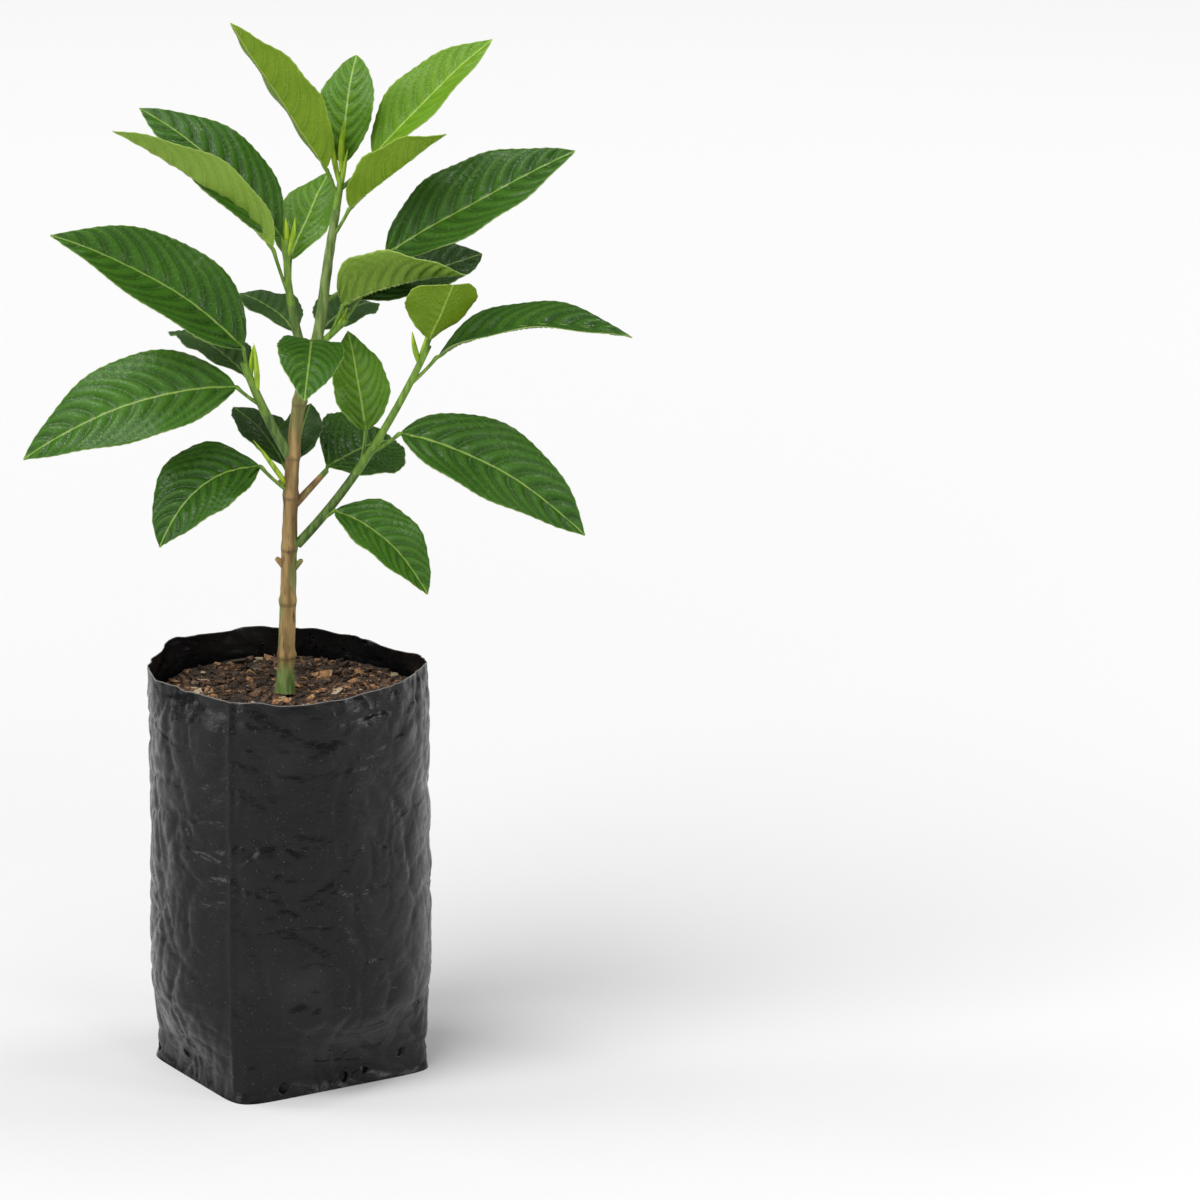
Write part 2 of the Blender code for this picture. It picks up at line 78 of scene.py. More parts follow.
class Recipe:
    """A Principled material under construction."""

    def __init__(self, name: str) -> None:
        """Start a material with its shader.

        Args:
            name: the material's name.
        """
        self.material = bpy.data.materials.new(name)
        self.material.use_nodes = True
        self.tree = self.material.node_tree
        self.shader = self.tree.nodes["Principled BSDF"]

    def feed(self, socket: bpy.types.NodeSocket, value: object) -> None:
        """Link or set a socket.

        Args:
            socket: the input socket.
            value: another node's output, or a plain value.
        """
        if isinstance(value, bpy.types.NodeSocket):
            self.tree.links.new(value, socket)
        else:
            socket.default_value = value

    def node(self, kind: str, inputs: dict[str, object], **settings: object) -> bpy.types.Node:
        """Add a node.

        Args:
            kind: the node's type name.
            inputs: values or outputs by input name.
            settings: the node's own settings.

        Returns:
            The new node.
        """
        made = self.tree.nodes.new(kind)
        for key, value in settings.items():
            setattr(made, key, value)
        for key, value in inputs.items():
            self.feed(made.inputs[key], value)
        return made

    def attribute(self, name: str) -> bpy.types.NodeSocket:
        """Read one of the mesh's own float attributes."""
        return self.node("ShaderNodeAttribute", {}, attribute_name=name).outputs["Fac"]

    def place(self) -> bpy.types.NodeSocket:
        """Object coordinates, in metres."""
        return self.node("ShaderNodeTexCoord", {}).outputs["Object"]

    def stretched(self, scale: tuple[float, float, float]) -> bpy.types.NodeSocket:
        """Object coordinates with each axis scaled."""
        return self.node("ShaderNodeMapping", {"Vector": self.place(), "Scale": scale}).outputs[0]

    def noise(self, scale: float, detail: float = 4.0,
              vector: bpy.types.NodeSocket | None = None) -> bpy.types.NodeSocket:
        """A noise pattern.

        Args:
            scale: how many features to the metre.
            detail: how many finer layers it has.
            vector: where it is read, the object's own place by default.

        Returns:
            The pattern's value.
        """
        where = vector or self.place()
        made = self.node("ShaderNodeTexNoise", {"Vector": where, "Scale": scale, "Detail": detail})
        return made.outputs["Fac"]

    def ramp(self, value: object, low: float, high: float, start: float = 0.0,
             end: float = 1.0) -> bpy.types.NodeSocket:
        """Map a value smoothly from one range to another.

        Args:
            value: the value or output that is mapped.
            low: where the range starts.
            high: where the range ends.
            start: what low becomes.
            end: what high becomes.

        Returns:
            The mapped value.
        """
        made = self.node("ShaderNodeMapRange", {
            "Value": value, "From Min": low, "From Max": high, "To Min": start, "To Max": end,
        }, interpolation_type="SMOOTHSTEP")
        return made.outputs[0]

    def maths(self, operation: str, first: object, second: object = 0.0) -> bpy.types.NodeSocket:
        """One arithmetic step on two values.

        Args:
            operation: the step's name.
            first: a value or an output.
            second: a value or an output.

        Returns:
            The result.
        """
        made = self.tree.nodes.new("ShaderNodeMath")
        made.operation = operation
        self.feed(made.inputs[0], first)
        self.feed(made.inputs[1], second)
        return made.outputs[0]

    def mix(self, factor: object, first: object, second: object) -> bpy.types.NodeSocket:
        """Blend two colours.

        Args:
            factor: 0 for the first colour, 1 for the second.
            first: a colour or an output.
            second: a colour or an output.

        Returns:
            The blended colour.
        """
        made = self.tree.nodes.new("ShaderNodeMix")
        made.data_type = "RGBA"
        self.feed(made.inputs[0], factor)
        for socket, value in ((made.inputs[6], first), (made.inputs[7], second)):
            self.feed(socket, (*value, 1.0) if isinstance(value, tuple) else value)
        return made.outputs[2]

    def bump(self, height: bpy.types.NodeSocket, distance: float, strength: float = 1.0) -> None:
        """Raise the surface by a pattern.

        Args:
            height: the pattern.
            distance: how far it rises at most, in metres.
            strength: how much of that shows.
        """
        made = self.node("ShaderNodeBump", {
            "Height": height, "Distance": distance, "Strength": strength})
        self.feed(self.shader.inputs["Normal"], made.outputs[0])

    def dress(self, colour: object, roughness: object, **constants: float) -> bpy.types.Material:
        """Feed the shader and hand over the material.

        Args:
            colour: the base colour, or an output.
            roughness: the roughness, or an output.
            constants: plain values for other inputs, spaces written as underscores.

        Returns:
            The finished material.
        """
        value = (*colour, 1.0) if isinstance(colour, tuple) else colour
        self.feed(self.shader.inputs["Base Color"], value)
        self.feed(self.shader.inputs["Roughness"], roughness)
        for key, number in constants.items():
            self.shader.inputs[key.replace("_", " ")].default_value = number
        return self.material


@dataclass(frozen=True)
class LeafFinish:
    """The colours and gloss of one side of a leaf."""

    name: str
    deep: Colour
    light: Colour
    vein: Colour
    rib: Colour
    roughness: float
    net: float = 0.10
    marking: float = 0.42
    net_cells: float = 520.0
    gloss: float = 0.28

    def shade(self, recipe: Recipe, marks: bpy.types.NodeSocket) -> bpy.types.NodeSocket:
        """Painted shade of the quilted relief: light in the middle of each field between veins and dark
        beside them, on top of seeded cloud and tone.

        Args:
            recipe: the material in hand.
            marks: which side vein a point is nearest to, counted along the blade.

        Returns:
            0 for the deep colour to 1 for the light one.
        """
        cloud = recipe.ramp(recipe.noise(38.0, 5.0), 0.32, 0.68)
        # painted shade: the colour darkens towards each side vein, where the quilted blade dips
        painted_relief_shade = recipe.ramp(recipe.maths("PINGPONG", marks, 0.5), 0.04, 0.40, 0.0, 0.45)
        tone = recipe.maths("MULTIPLY", recipe.attribute("tone"), 0.30)
        spread = recipe.maths("ADD", recipe.maths("MULTIPLY", cloud, 0.25), tone)
        return recipe.maths("ADD", spread, painted_relief_shade)

    def material(self) -> bpy.types.Material:
        """Green with side veins, a fine net of veins, a pale rib and margin.

        Returns:
            The material of one side of a leaf.
        """
        recipe = Recipe(self.name)
        marks = recipe.attribute("vein_mark")
        rib = recipe.ramp(recipe.attribute("rib_mm"), 0.75, 0.30)
        margin = recipe.ramp(recipe.attribute("edge_mm"), 0.55, 0.15)
        side = recipe.ramp(recipe.maths("PINGPONG", marks, 0.5), 0.050, 0.0)
        cells = recipe.node("ShaderNodeTexVoronoi", {"Vector": recipe.place(), "Scale": self.net_cells},
                            feature="DISTANCE_TO_EDGE").outputs["Distance"]
        net = recipe.ramp(cells, 0.10, 0.0)
        # the deep-to-light blend holds seeded cloud and tone and the painted shade of the quilting
        colour = recipe.mix(self.shade(recipe, marks), self.deep, self.light)
        colour = recipe.mix(recipe.maths("MULTIPLY", net, self.net), colour, self.vein)
        colour = recipe.mix(recipe.maths("MULTIPLY", side, self.marking), colour, self.vein)
        colour = recipe.mix(recipe.maths("MULTIPLY", margin, 0.6), colour, self.rib)
        colour = recipe.mix(recipe.maths("MULTIPLY", rib, 0.85), colour, self.rib)
        wear = recipe.ramp(recipe.noise(90.0, 3.0), 0.3, 0.7, self.roughness - 0.05,
                           self.roughness + 0.09)
        sunk_net = recipe.maths("MULTIPLY", net, 0.7)
        recipe.bump(recipe.maths("SUBTRACT", recipe.noise(700.0, 2.0), sunk_net), 0.12 * MM)
        return recipe.dress(colour, wear, IOR=1.45, Specular_IOR_Level=self.gloss)


UPPER = {
    AgeAndShade.YOUNG: LeafFinish("young_leaf_upper", (0.075, 0.19, 0.004), (0.14, 0.28, 0.010),
                          (0.24, 0.38, 0.04), (0.32, 0.46, 0.07), 0.36),
    AgeAndShade.MIDDLE: LeafFinish("middle_leaf_upper", (0.030, 0.105, 0.003), (0.098, 0.225, 0.010),
                           (0.19, 0.34, 0.05), (0.30, 0.44, 0.09), 0.32),
    AgeAndShade.GROWN: LeafFinish("grown_leaf_upper", (0.010, 0.046, 0.003), (0.048, 0.140, 0.010),
                          (0.10, 0.20, 0.03), (0.24, 0.36, 0.07), 0.26),
    # painted shade: darker, greyer upper colours for leaves in shade at the back
    AgeAndShade.SHADED: LeafFinish("shaded_leaf_upper", (0.016, 0.052, 0.008), (0.042, 0.100, 0.018),
                           (0.10, 0.18, 0.04), (0.20, 0.30, 0.07), 0.32),
}
UNDER = {
    AgeAndShade.YOUNG: LeafFinish("young_leaf_under", (0.085, 0.175, 0.002), (0.15, 0.255, 0.006),
                          (0.28, 0.40, 0.05), (0.34, 0.46, 0.08), 0.48, 0.2, 0.45),
    AgeAndShade.MIDDLE: LeafFinish("middle_leaf_under", (0.115, 0.215, 0.015), (0.19, 0.31, 0.035),
                           (0.29, 0.41, 0.09), (0.36, 0.46, 0.13), 0.50, 0.2, 0.45),
    AgeAndShade.GROWN: LeafFinish("grown_leaf_under", (0.10, 0.17, 0.030), (0.16, 0.24, 0.055),
                          (0.26, 0.35, 0.10), (0.32, 0.41, 0.13), 0.50, 0.2, 0.4),
    # painted shade: darker, greyer under colours for leaves in shade at the back
    AgeAndShade.SHADED: LeafFinish("shaded_leaf_under", (0.07, 0.125, 0.03), (0.12, 0.18, 0.05),
                           (0.22, 0.30, 0.09), (0.28, 0.36, 0.12), 0.50, 0.2, 0.4),
}


@dataclass(frozen=True)
class BarkFinish:
    """Tan bark streaked with green, greener at the foot and up in the crown."""

    green_foot: float = 193 * MM
    green_from: float = 318 * MM
    tan: tuple[Colour, Colour] = ((0.16, 0.098, 0.034), (0.37, 0.245, 0.095))
    green: tuple[Colour, Colour] = ((0.095, 0.16, 0.035), (0.19, 0.26, 0.075))
    crack: Colour = (0.10, 0.065, 0.035)
    ring: Colour = (0.13, 0.085, 0.040)
    relief: float = 0.4 * MM

    def material(self) -> bpy.types.Material:
        """Streaks run along the stem, with dark cracks and a brown ring under each joint.

        Returns:
            The bark.
        """
        recipe = Recipe("bark")
        streaks = recipe.noise(260.0, 6.0, recipe.stretched((1.0, 1.0, 0.10)))
        cracks = recipe.noise(620.0, 5.0, recipe.stretched((1.0, 1.0, 0.16)))
        height = recipe.node("ShaderNodeSeparateXYZ", {"Vector": recipe.place()}).outputs["Z"]
        tan = recipe.mix(recipe.ramp(streaks, 0.38, 0.62), *self.tan)
        tan = recipe.mix(recipe.ramp(cracks, 0.56, 0.70), tan, self.crack)
        green = recipe.mix(recipe.ramp(cracks, 0.4, 0.6), *self.green)
        foot = recipe.ramp(height, self.green_foot + 0.008, self.green_foot - 0.004)
        crown = recipe.ramp(height, self.green_from - 0.03, self.green_from + 0.03)
        patches = recipe.ramp(recipe.noise(120.0, 3.0, recipe.stretched((1.0, 1.0, 0.3))), 0.52, 0.64)
        amount = recipe.maths("MAXIMUM", recipe.maths("MAXIMUM", foot, crown),
                              recipe.maths("MULTIPLY", patches, 0.7))
        colour = recipe.mix(amount, tan, green)
        ring = recipe.attribute("ring")
        colour = recipe.mix(recipe.ramp(ring, 0.1, 0.9, 0.0, 0.62), colour, self.ring)
        recipe.bump(cracks, self.relief)
        wear = recipe.ramp(streaks, 0.3, 0.7, 0.62, 0.82)
        return recipe.dress(colour, wear, Specular_IOR_Level=0.3)


@dataclass(frozen=True)
class GreenFinish:
    """Smooth young green stem, stalk or bud."""

    name: str
    deep: Colour
    light: Colour

    def material(self) -> bpy.types.Material:
        """Faint lengthwise streaks on a satin skin.

        Returns:
            The skin of a green stem or bud.
        """
        recipe = Recipe(self.name)
        streaks = recipe.noise(500.0, 4.0, recipe.stretched((1.0, 1.0, 0.2)))
        colour = recipe.mix(recipe.ramp(streaks, 0.35, 0.65), self.deep, self.light)
        recipe.bump(streaks, 0.15 * MM)
        return recipe.dress(colour, 0.42, Specular_IOR_Level=0.3)


@dataclass(frozen=True)
class FilmFinish:
    """Glossy black polythene film with fine crinkles and a little dust."""

    colour: Colour = (0.0042, 0.0044, 0.0050)
    dust: Colour = (0.022, 0.0215, 0.021)
    speck: Colour = (0.12, 0.11, 0.10)
    cut_edge: Colour = (0.20, 0.19, 0.18)
    relief: float = 1.0 * MM

    def material(self) -> bpy.types.Material:
        """Crinkles as bump, with dust in patches, fine specks and a pale cut edge.

        Returns:
            The film.
        """
        recipe = Recipe("black_film")
        crinkle = recipe.noise(95.0, 6.0, recipe.stretched((0.7, 0.7, 1.3)))
        fine = recipe.noise(300.0, 4.0, recipe.stretched((0.45, 0.45, 1.3)))
        cells = recipe.node("ShaderNodeTexVoronoi", {
            "Vector": recipe.stretched((0.8, 0.8, 1.4)), "Scale": 42.0,
        }, feature="DISTANCE_TO_EDGE").outputs["Distance"]
        where = recipe.ramp(recipe.noise(17.0, 2.0), 0.46, 0.66, 0.06, 0.42)
        folds = recipe.maths("MULTIPLY", recipe.ramp(cells, 0.0, 0.14), where)
        specks = recipe.ramp(recipe.noise(900.0, 2.0), 0.66, 0.74)
        cloud = recipe.ramp(recipe.noise(26.0, 5.0), 0.48, 0.75, 0.0, 0.55)
        colour = recipe.mix(cloud, self.colour, self.dust)
        colour = recipe.mix(recipe.maths("MULTIPLY", specks, 0.35), colour, self.speck)
        edge = recipe.ramp(recipe.attribute("below_rim_mm"), 0.50, 0.15)
        colour = recipe.mix(recipe.maths("MULTIPLY", edge, 0.8), colour, self.cut_edge)
        wrinkles = recipe.maths("ADD", crinkle, recipe.maths("MULTIPLY", fine, 0.25))
        recipe.bump(recipe.maths("ADD", wrinkles, folds), self.relief)
        return recipe.dress(colour, recipe.ramp(crinkle, 0.3, 0.7, 0.20, 0.34), IOR=1.32)


@dataclass(frozen=True)
class MixFinish:
    """One of the colours of the bark chips and fibre."""

    name: str
    deep: Colour
    light: Colour
    roughness: float = 0.85

    def material(self) -> bpy.types.Material:
        """Fibrous grain on a matt surface.

        Returns:
            The material of a chip or the bed.
        """
        recipe = Recipe(self.name)
        grain = recipe.noise(900.0, 6.0, recipe.stretched((1.0, 0.35, 1.0)))
        colour = recipe.mix(recipe.ramp(grain, 0.35, 0.66), self.deep, self.light)
        recipe.bump(grain, 0.5 * MM)
        return recipe.dress(colour, self.roughness)


MIX_SHARES = {"dark": 0.50, "brown": 0.34, "tan": 0.13, "pale": 0.03}
MIX_FINISHES = (
    MixFinish("dark_mix", (0.020, 0.0125, 0.009), (0.065, 0.040, 0.025)),
    MixFinish("brown_chip", (0.060, 0.031, 0.017), (0.165, 0.088, 0.046)),
    MixFinish("tan_chip", (0.20, 0.095, 0.038), (0.44, 0.24, 0.105)),
    MixFinish("pale_chip", (0.28, 0.20, 0.12), (0.50, 0.40, 0.27)),
)


@dataclass(frozen=True)
class Shoot:
    """A side shoot: foot, tip and bow of its middle line in mm, and its bare length."""

    foot: tuple[float, float, float]
    tip: tuple[float, float, float]
    bow: tuple[float, float, float]
    foot_radius: float
    tip_radius: float
    bare: float


@dataclass(frozen=True)
class Leaf:
    """One leaf: where it springs from and how its blade lies, in mm and degrees."""

    # the leaf's age; SHADED instead paints shade on a leaf at the back
    age: AgeAndShade
    shoot: str
    at: float
    heading: float
    stalk: float
    stalk_rise: float
    rise: float
    length: float
    width: float
    arch: float = 0.08
    roll: float = 0.0
    fold: float = 12.0
    sweep: float = 0.0
    wide: float = 0.45
    turn: float = 0.0


@dataclass(frozen=True)
class Bud:
    """A slender bud or unopened leaf standing in the angle of a stalk."""

    shoot: str
    at: float
    heading: float
    rise: float
    length: float


YOUNG, MIDDLE, GROWN, SHADED = AgeAndShade.YOUNG, AgeAndShade.MIDDLE, AgeAndShade.GROWN, AgeAndShade.SHADED

TRUNK_BENDS = ((-1.3, 0, 181.5), (0.5, 0, 226), (3.0, 0, 290), (7.5, 0, 325),
               (15.5, 0, 352.6), (20.8, 0, 390), (27.4, 0, 430))
TRUNK_NODES = (18, 44, 70, 95, 114, 140)
TRUNK_TOP_MM = 233
TRUNK_FOOT_MM, TRUNK_TIP_MM = 4.0, 1.2

SHOOTS = {
    "left_low": Shoot((2.5, 0, 294), (-18.5, -9, 342), (-0.5, 0, -2.0), 2.7, 1.7, 25),
    "left_high": Shoot((9.0, 0, 342), (1.6, -8, 400), (-2.2, 0, 0), 2.4, 1.3, 27),
    "right": Shoot((4.5, 0, 252), (66.5, -13, 351), (2.0, 0, -5.5), 2.3, 1.5, 46),
    "right_spur": Shoot((3.5, 0, 271), (18.8, 8, 286), (0, 0, 0), 1.9, 1.3, 19),
    "centre_right": Shoot((15.5, 0, 347.5), (29.0, -5, 361), (0, 0, 0), 1.7, 1.3, 5.5),
}

MASSES = {
    "crown_tip": (
        Leaf(YOUNG, "trunk", 239, 208, 15, 66, 57, 87, 36, arch=0.0, roll=20, fold=32, wide=0.48),
        Leaf(MIDDLE, "trunk", 246, 76, 8, 60, 62, 52, 27, arch=0.12, fold=8, wide=0.52),
        Leaf(YOUNG, "trunk", 242, 12, 22, 44, 43, 76, 34, arch=0.03, roll=30, fold=24),
    ),
    "upper_right": (
        Leaf(YOUNG, "trunk", 219, 335, 18, 58, 39, 63, 31, arch=0.02, roll=-22, fold=35),
    ),
    "right_high": (
        Leaf(GROWN, "trunk", 188, 1, 37, 38, 29, 99, 44, arch=0.02, roll=40, fold=20, turn=4),
    ),
    "centre_right": (
        Leaf(MIDDLE, "centre_right", 8, 338, 17, 66, 18, 64, 46, arch=0.05, roll=-30, fold=32,
             wide=0.35),
        Leaf(SHADED, "centre_right", 16, 29, 14, 52, 12, 66, 30, arch=0.03, roll=30, wide=0.55),
    ),
    "back_right": (
        Leaf(SHADED, "trunk", 170, 66, 7, 35, 0, 54, 28, arch=0.06, roll=10),
    ),
    "right_shoot": (
        Leaf(YOUNG, "right", 114, 295, 9, 57, 50, 42, 36, arch=0.0, fold=20, roll=-10, wide=0.6),
        Leaf(GROWN, "right", 97, 355, 19, 46, 7, 90, 36, arch=0.12, roll=8, fold=18),
        Leaf(MIDDLE, "right", 51, 116, 16, 72, 66, 47, 29, arch=0.03, turn=-50),
        Leaf(GROWN, "right", 58, 349, 18, 35, -27, 97, 44, arch=0.06, roll=35, sweep=-0.05),
    ),
    "right_low": (
        Leaf(GROWN, "right", 17, 333, 10, 35, -35, 59, 33, arch=0.08, roll=25, fold=20,
             sweep=-0.06),
    ),
    "right_spur": (
        Leaf(GROWN, "right_spur", 22, 62, 3, 44, -2, 62, 44, arch=0.06, roll=32),
    ),
    "left_low": (
        Leaf(GROWN, "left_low", 47, 184, 13, 80, 32, 103, 46, arch=0.04, roll=-45, fold=24,
             sweep=0.05, wide=0.42, turn=15),
        Leaf(SHADED, "left_low", 40, 126, 8, 34, 6, 64, 30),
        Leaf(GROWN, "left_low", 30, 186, 16, 39, -18, 103, 46, arch=0.09, roll=-45, sweep=0.04,
             wide=0.43, turn=13),
    ),
    "left_high": (
        Leaf(GROWN, "left_high", 44, 169, 16, 80, 41, 87, 38, arch=0.10, roll=-35),
        Leaf(MIDDLE, "left_high", 30, 200, 27, 69, 39, 97, 34, arch=0.05, roll=25, fold=35,
             turn=18),
        Leaf(MIDDLE, "left_high", 32, 62, 16, 68, 42, 50, 30, arch=0.03, turn=28),
    ),
    "back_left": (
        Leaf(SHADED, "left_high", 10, 122, 5, 31, 6, 54, 28),
    ),
    "front": (
        Leaf(GROWN, "trunk", 163, 268, 13, 45, -17, 52, 32, arch=0.12, roll=-8),
    ),
    "back_low_left": (
        Leaf(SHADED, "trunk", 102, 124, 9, 43, 22, 47, 26),
    ),
    "back_low": (
        Leaf(SHADED, "trunk", 108, 75, 5, 30, 38, 33, 21, arch=0.05),
    ),
    "low_left": (
        Leaf(GROWN, "trunk", 96, 210, 22, 43, -31, 61, 41, arch=0.14, roll=-30, sweep=0.10),
    ),
}

BUDS = {
    "crown_tip": (
        Bud("trunk", 244, 150, 80, 30), Bud("trunk", 250, 300, 82, 26),
        Bud("trunk", 238, 340, 78, 24), Bud("trunk", 252, 60, 84, 20),
    ),
    "left_high": (
        Bud("left_high", 54, 100, 82, 15), Bud("left_high", 50, 330, 76, 20),
        Bud("left_high", 46, 220, 78, 14),
    ),
    "left_low": (Bud("left_low", 36, 250, 80, 26), Bud("left_low", 44, 20, 84, 16)),
    "low_left": (Bud("trunk", 96.5, 211, 55, 33),),
    "right_shoot": (
        Bud("right", 104, 10, 74, 20), Bud("right", 108, 200, 78, 16), Bud("right", 60, 350, 50, 9),
    ),
    "centre_right": (Bud("centre_right", 12, 10, 62, 12),),
}


class Path3:
    """A smooth line through points in mm, read by the distance along it."""

    SAMPLES = 160

    def __init__(self, place: Callable[[float], Vector]) -> None:
        """Sample the line and mark the distance at each sample.

        Args:
            place: gives the point in mm for a fraction of the line.
        """
        self.points = [place(i / self.SAMPLES) for i in range(self.SAMPLES + 1)]
        self.marks = [0.0]
        for a, b in zip(self.points, self.points[1:]):
            self.marks.append(self.marks[-1] + (b - a).length)

    @property
    def length(self) -> float:
        """Whole length in mm."""
        return self.marks[-1]

    def at(self, distance: float) -> Vector:
        """The point so far along the line; past the end it runs straight on.

        Args:
            distance: how far along, in mm.

        Returns:
            The point in mm.
        """
        last = len(self.marks) - 1
        index = next((i for i in range(1, last) if distance <= self.marks[i]), last)
        span = self.marks[index] - self.marks[index - 1]
        part = (distance - self.marks[index - 1]) / span
        return self.points[index - 1].lerp(self.points[index], part)


def through(bends: tuple[tuple[float, float, float], ...]) -> Callable[[float], Vector]:
    """A Catmull-Rom line through points.

    Args:
        bends: the points in mm.

    Returns:
        A function from a fraction of the line to a point on it.
    """
    knots = [Vector(bend) for bend in bends]
    last = len(knots) - 1

    def place(t: float) -> Vector:
        """A point of the line.

        Args:
            t: the fraction of the line.

        Returns:
            The point in mm.
        """
        i = min(int(t * last), last - 1)
        f = t * last - i
        a, b = knots[max(i - 1, 0)], knots[i]
        c, d = knots[i + 1], knots[min(i + 2, last)]
        return 0.5 * (2 * b + (c - a) * f + (2 * a - 5 * b + 4 * c - d) * f ** 2
                      + (3 * b - a - 3 * c + d) * f ** 3)
    return place


def bowed(shoot: Shoot) -> Callable[[float], Vector]:
    """A shoot's bowed middle line, as a function from a fraction of it to a point."""
    foot, tip, bow = Vector(shoot.foot), Vector(shoot.tip), Vector(shoot.bow)
    return lambda t: foot.lerp(tip, t) + bow * (4 * t * (1 - t))


PATHS = {"trunk": Path3(through(TRUNK_BENDS))}
PATHS.update({name: Path3(bowed(shoot)) for name, shoot in SHOOTS.items()})


def direction(heading: float, rise: float) -> Vector:
    """Unit vector for a direction.

    Args:
        heading: the turn from +X in degrees.
        rise: the rise above level in degrees.

    Returns:
        The vector.
    """
    heading, rise = math.radians(heading), math.radians(rise)
    return Vector((math.cos(rise) * math.cos(heading), math.cos(rise) * math.sin(heading),
                   math.sin(rise)))


def limb_radius(name: str, distance: float) -> float:
    """Radius of the trunk or a shoot.

    Args:
        name: the trunk or the shoot.
        distance: how far along it, in mm.

    Returns:
        The radius in mm.
    """
    if name == "trunk":
        t = min(max(distance / PATHS["trunk"].length, 0.0), 1.0)
        taper = TRUNK_TIP_MM + (TRUNK_FOOT_MM - TRUNK_TIP_MM) * (1 - t) ** 0.55
        flare = 0.9 * math.exp(-distance / 4.5)
        joints = sum(0.45 * math.exp(-((distance - node) / 2.2) ** 2) for node in TRUNK_NODES)
        return taper + flare + joints
    shoot = SHOOTS[name]
    t = min(distance / PATHS[name].length, 1.0)
    return shoot.foot_radius + (shoot.tip_radius - shoot.foot_radius) * t


def rolled(columns: int, rows: int, place: Callable[[float, int], Vector]) -> bmesh.types.BMesh:
    """A grid rolled into a tube, its two ends filled.

    Args:
        columns: faces round the tube.
        rows: faces along it.
        place: gives the point in metres for a turn of 0..1 and a row.

    Returns:
        A closed bmesh whose faces point outwards.
    """
    bm = bmesh.new()
    bmesh.ops.create_grid(bm, x_segments=columns, y_segments=rows, size=1.0)
    for vert in bm.verts:
        row = round((vert.co.y + 1) / 2 * rows)
        vert.co = place((vert.co.x + 1) / 2, row)
    bmesh.ops.remove_doubles(bm, verts=bm.verts, dist=1e-7)
    bmesh.ops.holes_fill(bm, edges=bm.edges, sides=0)
    bmesh.ops.triangulate(bm, faces=[face for face in bm.faces if len(face.verts) > 4])
    bmesh.ops.recalc_face_normals(bm, faces=bm.faces)
    if bm.calc_volume(signed=True) < 0:
        bmesh.ops.reverse_faces(bm, faces=bm.faces)
    return bm


def stem(points: list[Vector], radii: list[float], sides: int,
         relief: Callable[[Vector, float], float] | None = None) -> bmesh.types.BMesh:
    """A tapering tube through points.

    Args:
        points: its middle line in mm.
        radii: its radius in mm at each point.
        sides: faces round it.
        relief: extra radius in mm at a point in mm and a turn of 0..1.

    Returns:
        A closed bmesh in metres.
    """
    last = len(points) - 1
    across = Vector((1, 0, 0))
    frames = []
    for i in range(last + 1):
        along = (points[min(i + 1, last)] - points[max(i - 1, 0)]).normalized()
        across = (across - along * across.dot(along)).normalized()
        frames.append((across, along.cross(across)))

    def place(turn: float, row: int) -> Vector:
        """A point of the skin.

        Args:
            turn: the turn of 0..1 round the tube.
            row: the row along it.

        Returns:
            The point in metres.
        """
        side, front = frames[row]
        angle = turn * 2 * math.pi
        out = side * math.cos(angle) + front * math.sin(angle)
        extra = relief(points[row] + out * radii[row], turn % 1.0) if relief else 0.0
        return (points[row] + out * (radii[row] + extra)) * MM

    return rolled(sides, last, place)


def joined(name: str, parts: list[bmesh.types.BMesh], materials: list[bpy.types.Material],
           sharp: float = 50.0) -> bpy.types.Object:
    """One object from several bmeshes, which are freed.

    Args:
        name: the piece's name.
        parts: the meshes to join.
        materials: the object's material slots.
        sharp: edges sharper than this many degrees stay sharp.

    Returns:
        The new object, at the origin.
    """
    whole = bpy.data.meshes.new(name)
    collected = bmesh.new()
    for part in parts:
        spare = bpy.data.meshes.new("spare")
        part.to_mesh(spare)
        part.free()
        collected.from_mesh(spare)
        bpy.data.meshes.remove(spare)
    collected.to_mesh(whole)
    collected.free()
    for material in materials:
        whole.materials.append(material)
    whole.shade_smooth()
    whole.set_sharp_from_angle(angle=math.radians(sharp))
    made = bpy.data.objects.new(name, whole)
    bpy.context.scene.collection.objects.link(made)
    return made


def settle(piece: bpy.types.Object, slot: str, *nodes: str) -> None:
    """Ride a piece on the body and let it stand for nodes.

    Args:
        piece: the finished piece.
        slot: not used.
        nodes: the nodes it replaces.
    """
    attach(piece, BODY)
    if nodes:
        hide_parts(*nodes)
    LOG.info("%s: %d faces", piece.name, len(piece.data.polygons))


